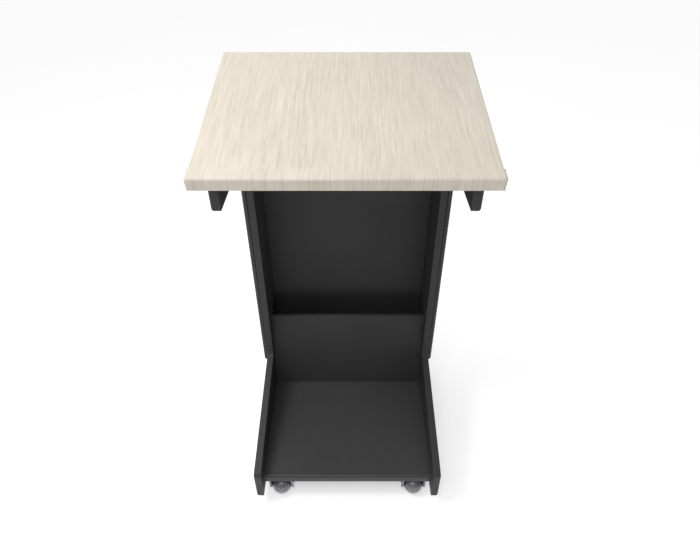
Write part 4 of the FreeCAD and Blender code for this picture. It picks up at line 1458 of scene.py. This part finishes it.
@dataclass(frozen=True)
class Caster:
    """One swivel caster: plate, race, kingpin, fork, axle, ball-shaped wheel and its tread."""

    finishes: Finishes
    corner: Corner
    turn_steps: int = 72
    small_turn_steps: int = 48
    running_gap: float = 0.08 * MM
    pin_radius: float = 4.0 * MM
    plate_corner_round: float = 7.0 * MM
    plate_ease: float = 0.5 * MM
    race_lip: float = 1.0 * MM
    race_shoulder: float = 1.5 * MM
    ball_gap: float = 0.15 * MM
    rivet_dome: float = 1.3 * MM
    rivet_gap: float = 0.3 * MM
    rivet_ring_radius: float = 2.2 * MM
    rivet_ring_half_width: float = 0.6 * MM
    rivet_ring_depth: float = 0.35 * MM
    fork_leg_thickness: float = 6.0 * MM
    fork_top_width: float = 28.0 * MM
    fork_end_radius: float = 11.0 * MM
    fork_shoulder_round: float = 4.5 * MM
    fork_inner_round: float = 2.25 * MM
    fork_ease: float = 0.9 * MM
    fork_end_share: float = 0.995
    fork_end_steps: int = 10
    crown_thickness: float = 3.0 * MM
    crown_radius: float = 19.0 * MM
    cup_under_round: float = 1.2 * MM
    cup_rise: float = 1.5 * MM
    cup_chamfer: float = 0.3 * MM
    cup_crest_out: float = 0.4 * MM
    cup_crest_in: float = 0.9 * MM
    cup_wall: float = 1.1 * MM
    cup_skin: float = 0.02 * MM
    boss_rise: float = 0.7 * MM
    boss_root_radius: float = 9.4 * MM
    boss_crest_outer: float = 8.8 * MM
    boss_crest_inner: float = 7.6 * MM
    boss_floor_radius: float = 7.0 * MM
    boss_floor_rise: float = 0.1 * MM
    boss_bury: float = 1.0 * MM
    washer_thickness: float = 0.5 * MM
    axle_head_share: float = 0.96
    axle_ease: float = 0.25 * MM
    tread_half_width: float = 15.0 * MM
    tread_seat_depth: float = 5.0 * MM
    tread_side_gap: float = 0.15 * MM
    tread_seat_gap: float = 0.02 * MM
    groove_depth: float = 0.5 * MM
    parting_line: Groove = Groove(0.0, 0.25 * MM)
    tread_groove: Groove = Groove(10.6 * MM, 0.4 * MM)
    shoulder_groove: Groove = Groove(19.45 * MM, 0.45 * MM)
    cheek_groove: Groove = Groove(24.95 * MM, 0.35 * MM)
    cheek_cut: float = 1.5 * MM
    hub_boss_radius: float = 8.0 * MM
    hub_boss_ease: float = 0.4 * MM

    def node(self, piece: str) -> str:
        """Name of one of this caster's frame nodes."""
        return f"{self.corner.value}_caster_{piece}"

    def name(self, piece: str) -> str:
        """Name of one of this caster's own pieces."""
        return f"{self.corner.value}_{piece}"

    def swivel(self) -> Vector:
        """Point on the floor under the swivel axis."""
        low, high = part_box(self.node("kingpin"))
        return Vector(((low.x + high.x) / 2.0, (low.y + high.y) / 2.0, 0.0))

    def hub(self) -> Vector:
        """Centre of the wheel."""
        low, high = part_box(self.node("tread"))
        return (low + high) / 2.0

    def leg_outer(self) -> float:
        """Distance of a leg's outer face from the middle of the wheel."""
        low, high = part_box(self.node("fork"))
        return (high.x - low.x) / 2.0

    def crown_top(self) -> float:
        """Height of the fork's crown."""
        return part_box(self.node("fork"))[1].z

    def bore(self) -> float:
        """Radius of a hole that turns on a pin."""
        return self.pin_radius + self.running_gap

    def upright(self) -> Matrix:
        """Matrix whose local z is the swivel axis."""
        return axes(AXIS_X, AXIS_Y, AXIS_Z, self.swivel())

    def along_axle(self) -> Matrix:
        """Matrix whose local z is the axle, from the wheel's centre."""
        return axes(AXIS_Y, AXIS_Z, AXIS_X, self.hub())

    def out_from_wheel(self, side: Side) -> Matrix:
        """Matrix whose local z is the axle, pointing out on one side of the wheel."""
        return self.along_axle() @ Matrix.Diagonal((1.0, 1.0, side.value, 1.0))

    def build_plate(self) -> None:
        """Top plate with rounded corners."""
        low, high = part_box(self.node("plate"))
        outline = [OutlinePoint(u, v, self.plate_corner_round) for u, v in
                   ((low.x, low.y), (high.x, low.y), (high.x, high.y), (low.x, high.y))]
        plate = cut_sheet(outline, high.z - low.z, Matrix.Translation((0.0, 0.0, low.z)))
        make_piece(self.name("top_plate"), plate, self.finishes.caster_zinc,
                   "stand", [self.node("plate")], even_softening(self.plate_ease))

    def build_race(self) -> None:
        """Fixed upper race with its rolled lip and ball groove."""
        low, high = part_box(self.node("race"))
        radius = (high.x - low.x) / 2.0
        lip = self.race_lip
        ball_low, ball_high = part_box(self.node("balls"))
        ball_radius = (ball_high.z - ball_low.z) / 2.0
        circle = (ball_high.x - ball_low.x) / 2.0 - ball_radius
        ball_z = (ball_low.z + ball_high.z) / 2.0
        clear = ball_radius + self.ball_gap
        half = math.sqrt(clear ** 2 - (low.z - ball_z) ** 2)
        start = math.degrees(math.atan2(half, low.z - ball_z))
        profile = [(high.z, self.pin_radius), (high.z, radius - self.race_shoulder)]
        profile += arc((low.z + lip, radius - lip), lip, 60.0, 180.0, 6)
        profile += arc((ball_z, circle), clear, start, -start, 8)
        profile += [(low.z, self.pin_radius)]
        race = turn_outline(profile, self.upright(), self.turn_steps, closed=True)
        make_piece(self.name("upper_race"), race, self.finishes.caster_zinc,
                   "stand", [self.node("race")])

    def build_kingpin(self) -> None:
        """Rivet with a domed head under the crown and a pressed ring in it."""
        low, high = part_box(self.node("kingpin"))
        head_radius = (high.x - low.x) / 2.0
        head_top = self.crown_top() - self.crown_thickness - self.rivet_gap
        ring, half, dome = self.rivet_ring_radius, self.rivet_ring_half_width, self.rivet_dome
        profile = [(low.z, 0.0), (low.z, ring - half)]
        profile += [(low.z + self.rivet_ring_depth, ring), (low.z, ring + half)]
        profile += arc((low.z + dome, head_radius - dome), dome, 180.0, 90.0, 6)
        profile += [(head_top, head_radius), (head_top, self.pin_radius)]
        profile += [(high.z, self.pin_radius), (high.z, 0.0)]
        pin = turn_outline(profile, self.upright(), self.small_turn_steps)
        make_piece(self.name("kingpin_rivet"), pin, self.finishes.caster_zinc,
                   "stand", [self.node("kingpin")])

    def fork_arch(self) -> bmesh.types.BMesh:
        """Crown and legs as one bent arch, narrowed towards round ends about the axle.

        Returns:
            The arch, with no edge softened yet.
        """
        hub = self.hub()
        crown_top = self.crown_top()
        outer = self.leg_outer()
        inner = outer - self.fork_leg_thickness
        toe = hub.z - self.fork_end_radius
        under = crown_top - self.crown_thickness
        outline = [
            OutlinePoint(-outer, toe),
            OutlinePoint(-inner, toe),
            OutlinePoint(-inner, under, self.fork_inner_round),
            OutlinePoint(inner, under, self.fork_inner_round),
            OutlinePoint(inner, toe),
            OutlinePoint(outer, toe),
            OutlinePoint(outer, crown_top, self.fork_shoulder_round),
            OutlinePoint(-outer, crown_top, self.fork_shoulder_round),
        ]
        half_top = self.fork_top_width / 2.0
        place = axes(AXIS_X, AXIS_Z, -AXIS_Y, Vector((hub.x, hub.y + half_top, 0.0)))
        bm = cut_sheet(outline, self.fork_top_width, place)
        for away in (-1.0, 1.0):
            self.taper_leg(bm, away, crown_top)
        ends = [edge for edge in bm.edges
                if on_plane(edge, AXIS_Z, toe)
                and abs(edge.verts[0].co.y - edge.verts[1].co.y) < NEAR]
        reach = self.fork_end_share * min(abs(edge.verts[0].co.y - hub.y) for edge in ends)
        bmesh.ops.bevel(bm, geom=ends, offset=reach, offset_type="OFFSET", segments=self.fork_end_steps,
                        profile=0.5, affect="EDGES", clamp_overlap=False, material=-1)
        bmesh.ops.recalc_face_normals(bm, faces=bm.faces)
        return bm

    def taper_leg(self, bm: bmesh.types.BMesh, away: float, crown_top: float) -> None:
        """Cut the arch's edge on one side along the line that is tangent to its round end.

        Args:
            bm: The arch.
            away: 1 for the side away from the speaker, -1 for the near side.
            crown_top: Height of the arch's top.
        """
        hub = self.hub()
        rise = crown_top - hub.z
        half_top = self.fork_top_width / 2.0
        tangent = math.atan2(rise, half_top) - math.acos(self.fork_end_radius / math.hypot(rise, half_top))
        out = Vector((0.0, away * math.cos(tangent), math.sin(tangent)))
        cut = bmesh.ops.bisect_plane(bm, geom=list(bm.verts) + list(bm.edges) + list(bm.faces), dist=NEAR,
                                     plane_co=hub + out * self.fork_end_radius, plane_no=out,
                                     clear_outer=True)
        rim = [item for item in cut["geom_cut"] if isinstance(item, bmesh.types.BMEdge)]
        bmesh.ops.contextual_create(bm, geom=rim)

    def lower_race(self) -> bmesh.types.BMesh:
        """Pressed cup on the crown that the balls run in.

        Returns:
            The closed ring.
        """
        crown_top = self.crown_top()
        under = crown_top - self.crown_thickness
        rim = self.crown_radius
        shoulder = crown_top + self.cup_rise - self.cup_chamfer
        profile = [
            (under, self.bore()),
            (under, rim - self.cup_under_round),
            (under + self.cup_under_round, rim),
            (shoulder, rim),
            (crown_top + self.cup_rise, rim - self.cup_crest_out),
            (shoulder, rim - self.cup_crest_in),
            (crown_top + self.cup_skin, rim - self.cup_wall),
            (crown_top + self.cup_skin, self.bore()),
        ]
        return turn_outline(profile, self.upright(), self.turn_steps, closed=True)

    def boss(self, side: Side) -> bmesh.types.BMesh:
        """Raised ring round the axle on one leg.

        Args:
            side: Which leg.

        Returns:
            The closed ring.
        """
        face = self.leg_outer()
        profile = [
            (face - self.boss_bury, self.boss_root_radius),
            (face, self.boss_root_radius),
            (face + self.boss_rise, self.boss_crest_outer),
            (face + self.boss_rise, self.boss_crest_inner),
            (face + self.boss_floor_rise, self.boss_floor_radius),
            (face - self.boss_bury, self.boss_floor_radius),
        ]
        return turn_outline(profile, self.out_from_wheel(side), self.small_turn_steps, closed=True)

    def build_fork(self) -> None:
        """Arch, lower race and axle bosses."""
        whole = gather([self.fork_arch(), self.lower_race(), self.boss(Side.LEFT), self.boss(Side.RIGHT)])
        make_piece(self.name("fork_arch"), whole, self.finishes.fork, self.name("fork"),
                   [self.node("fork")], even_softening(self.fork_ease, 3))

    def build_axle(self) -> None:
        """Axle bolt with a washer and a hexagon head at each end."""
        low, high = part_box(self.node("axle"))
        head_radius = (high.z - low.z) / 2.0
        face = self.leg_outer()
        seat = face + self.washer_thickness
        end = (high.x - low.x) / 2.0
        shank = [(-face, 0.0), (-face, self.pin_radius), (face, self.pin_radius), (face, 0.0)]
        washer = [(face, self.pin_radius), (face, head_radius), (seat, head_radius), (seat, self.pin_radius)]
        parts = [turn_outline(shank, self.along_axle(), 32)]
        for side in Side:
            place = self.out_from_wheel(side)
            parts.append(turn_outline(washer, place, 40, closed=True))
            parts.append(self.hexagon(head_radius * self.axle_head_share, seat, end, place))
        make_piece(self.name("axle_bolt"), gather(parts), self.finishes.caster_zinc,
                   self.name("fork"), [self.node("axle")], even_softening(self.axle_ease))

    @staticmethod
    def hexagon(radius: float, start: float, end: float, place: Matrix) -> bmesh.types.BMesh:
        """Hexagon head between two places along local z.

        Args:
            radius: Distance to a corner.
            start: Where it seats.
            end: Its outer face.
            place: Matrix from the local frame to the stand.

        Returns:
            The closed head.
        """
        bm = bmesh.new()
        made = bmesh.ops.create_cone(bm, cap_ends=True, segments=6, radius1=radius, radius2=radius,
                                     depth=end - start)
        bmesh.ops.translate(bm, vec=(0.0, 0.0, (start + end) / 2.0), verts=made["verts"])
        bmesh.ops.transform(bm, matrix=place, verts=bm.verts)
        bmesh.ops.recalc_face_normals(bm, faces=bm.faces)
        return bm

    def ball_arc(self, radius: float, start_x: float, end_x: float, steps: int) -> list[tuple[float, float]]:
        """Outline of a ball about the hub between two places along the axle.

        Args:
            radius: Radius of the ball.
            start_x: First place along the axle.
            end_x: Last place along the axle.
            steps: Number of chords.

        Returns:
            The points, as (along the axle, out from it).
        """
        start = math.degrees(math.acos(start_x / radius))
        end = math.degrees(math.acos(end_x / radius))
        return arc((0.0, 0.0), radius, start, end, steps)

    def grooved_arc(self, start_x: float, end_x: float, grooves: Sequence[Groove],
                    steps: int) -> list[tuple[float, float]]:
        """Outline of the wheel's ball shape, stepped down in its ring grooves.

        Args:
            start_x: First place along the axle.
            end_x: Last place along the axle.
            grooves: The grooves between them, in order.
            steps: Number of chords of each plain stretch.

        Returns:
            The points, as (along the axle, out from it).
        """
        radius = self.hub().z
        points = []
        place = start_x
        for groove in grooves:
            near, far = groove.place - groove.half_width, groove.place + groove.half_width
            points += self.ball_arc(radius, place, near, steps)
            points += self.ball_arc(radius - self.groove_depth, near, far, 1)
            place = far
        return points + self.ball_arc(radius, place, end_x, steps)

    def build_tread(self) -> None:
        """Tread band with a parting line and a fine groove near each edge."""
        half = self.tread_half_width - self.tread_side_gap
        seat = self.hub().z - self.tread_seat_depth
        mirrored = Groove(-self.tread_groove.place, self.tread_groove.half_width)
        grooves = [mirrored, self.parting_line, self.tread_groove]
        profile = [(-half, seat)] + self.grooved_arc(-half, half, grooves, 9) + [(half, seat)]
        tread = turn_outline(profile, self.along_axle(), self.turn_steps, closed=True)
        make_piece(self.name("tread_band"), tread, self.finishes.tread, self.name("wheel"),
                   [self.node("tread")])

    def build_core(self) -> None:
        """Wheel body with grooved shoulders and a hub boss at each end."""
        core_low, core_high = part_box(self.node("wheel_core"))
        hub_end = (core_high.x - core_low.x) / 2.0
        cheek = self.hub().z - self.cheek_cut
        boss = self.hub_boss_radius
        seat = self.hub().z - self.tread_seat_depth - self.tread_seat_gap
        half = self.tread_half_width + self.tread_side_gap
        right = [(half, seat)] + self.grooved_arc(half, cheek, [self.shoulder_groove, self.cheek_groove], 8)
        right += [(cheek, boss), (hub_end - self.hub_boss_ease, boss), (hub_end, boss - self.hub_boss_ease),
                  (hub_end, self.bore())]
        left = [(-along, out) for along, out in reversed(right)]
        core = turn_outline(right + left, self.along_axle(), self.turn_steps, closed=True)
        make_piece(self.name("wheel_body"), core, self.finishes.wheel, self.name("wheel"),
                   [self.node("wheel_core")])

    def build(self) -> None:
        """Make the whole caster."""
        self.build_plate()
        self.build_race()
        self.build_kingpin()
        self.build_fork()
        self.build_axle()
        self.build_tread()
        self.build_core()


# ---- studio ----
@dataclass(frozen=True)
class SoftLight:
    """A square soft box that looks at a point."""

    name: str
    place: tuple[float, float, float]
    aim: tuple[float, float, float]
    size: float
    power: float

    def build(self) -> None:
        """Hang the light."""
        data = bpy.data.lights.new(self.name, "AREA")
        data.shape = "SQUARE"
        data.size = self.size
        data.energy = self.power
        lamp = bpy.data.objects.new(self.name, data)
        lamp.location = self.place
        lamp.rotation_euler = (Vector(self.aim) - Vector(self.place)).to_track_quat("-Z", "Y").to_euler()
        bpy.context.scene.collection.objects.link(lamp)


@dataclass(frozen=True)
class Studio:
    """Pale floor, soft light and the camera above the speaker's place."""

    floor_half_size: float = 40.0
    floor_drop: float = 0.2 * MM
    sky_low: float = 0.20
    sky_high: float = 0.92
    sky_towards: tuple[float, float, float] = (-0.25, 0.30, 0.92)
    camera_place: tuple[float, float, float] = (0.008, -1.1615, 1.563)
    camera_dip: float = math.radians(38.0)
    lens: float = 27.05
    sensor: float = 36.0
    key: SoftLight = SoftLight("key", (-1.30, -0.20, 2.5), (0.0, 0.0, 0.7), size=1.0, power=32.0)
    fill: SoftLight = SoftLight("fill", (-0.2, -1.35, 2.35), (0.0, 0.0, 0.7), size=0.9, power=13.0)

    def build_floor(self) -> None:
        """Large level floor just under the wheels."""
        bm = bmesh.new()
        bmesh.ops.create_grid(bm, x_segments=2, y_segments=2, size=self.floor_half_size)
        bmesh.ops.translate(bm, vec=(0.0, 0.0, -self.floor_drop), verts=bm.verts)
        mesh = bpy.data.meshes.new("studio_floor")
        bm.to_mesh(mesh)
        bm.free()
        mesh.materials.append(StudioFloor().make())
        floor = bpy.data.objects.new("studio_floor", mesh)
        bpy.context.scene.collection.objects.link(floor)

    def build_world(self) -> None:
        """White surroundings, brightest overhead and dim near the horizon."""
        world = bpy.data.worlds.new("studio")
        world.use_nodes = True
        tree = world.node_tree
        background = tree.nodes["Background"]
        background.inputs["Color"].default_value = (1.0, 1.0, 1.0, 1.0)
        coords = tree.nodes.new("ShaderNodeTexCoord")
        facing = tree.nodes.new("ShaderNodeVectorMath")
        facing.operation = "DOT_PRODUCT"
        facing.inputs[1].default_value = self.sky_towards
        strength = tree.nodes.new("ShaderNodeMapRange")
        strength.inputs["To Min"].default_value = self.sky_low
        strength.inputs["To Max"].default_value = self.sky_high
        tree.links.new(coords.outputs["Generated"], facing.inputs[0])
        tree.links.new(facing.outputs["Value"], strength.inputs["Value"])
        tree.links.new(strength.outputs["Result"], background.inputs["Strength"])
        bpy.context.scene.world = world

    def build_lights(self) -> None:
        """Key from the speaker's left, with a weak fill from the speaker's place."""
        self.key.build()
        self.fill.build()

    def build_camera(self) -> None:
        """Camera that looks down on the top and into the column."""
        data = bpy.data.cameras.new("speaker_view")
        data.lens = self.lens
        data.sensor_width = self.sensor
        data.clip_end = 200.0
        camera = bpy.data.objects.new("speaker_view", data)
        camera.location = self.camera_place
        camera.rotation_euler = (math.pi / 2.0 - self.camera_dip, 0.0, 0.0)
        bpy.context.scene.collection.objects.link(camera)
        bpy.context.scene.camera = camera

    def build(self) -> None:
        """Set up the studio."""
        bpy.context.scene.view_settings.view_transform = "Standard"
        self.build_camera()
        self.build_floor()
        self.build_world()
        self.build_lights()


def main() -> None:
    """Build the stand piece by piece."""
    logging.basicConfig(level=logging.INFO, format="%(name)s %(message)s")
    Studio().build()
    plan = Plan.from_frame()
    finishes = Finishes.make(plan)
    ReadingTop(plan, finishes).build()
    for side in Side:
        SideAssembly(plan, finishes, side).build()
    BetweenPanels(plan, finishes).build()
    Hardware(plan, finishes).build()
    for corner in Corner:
        Caster(finishes, corner).build()


if __name__ == "__main__":
    main()
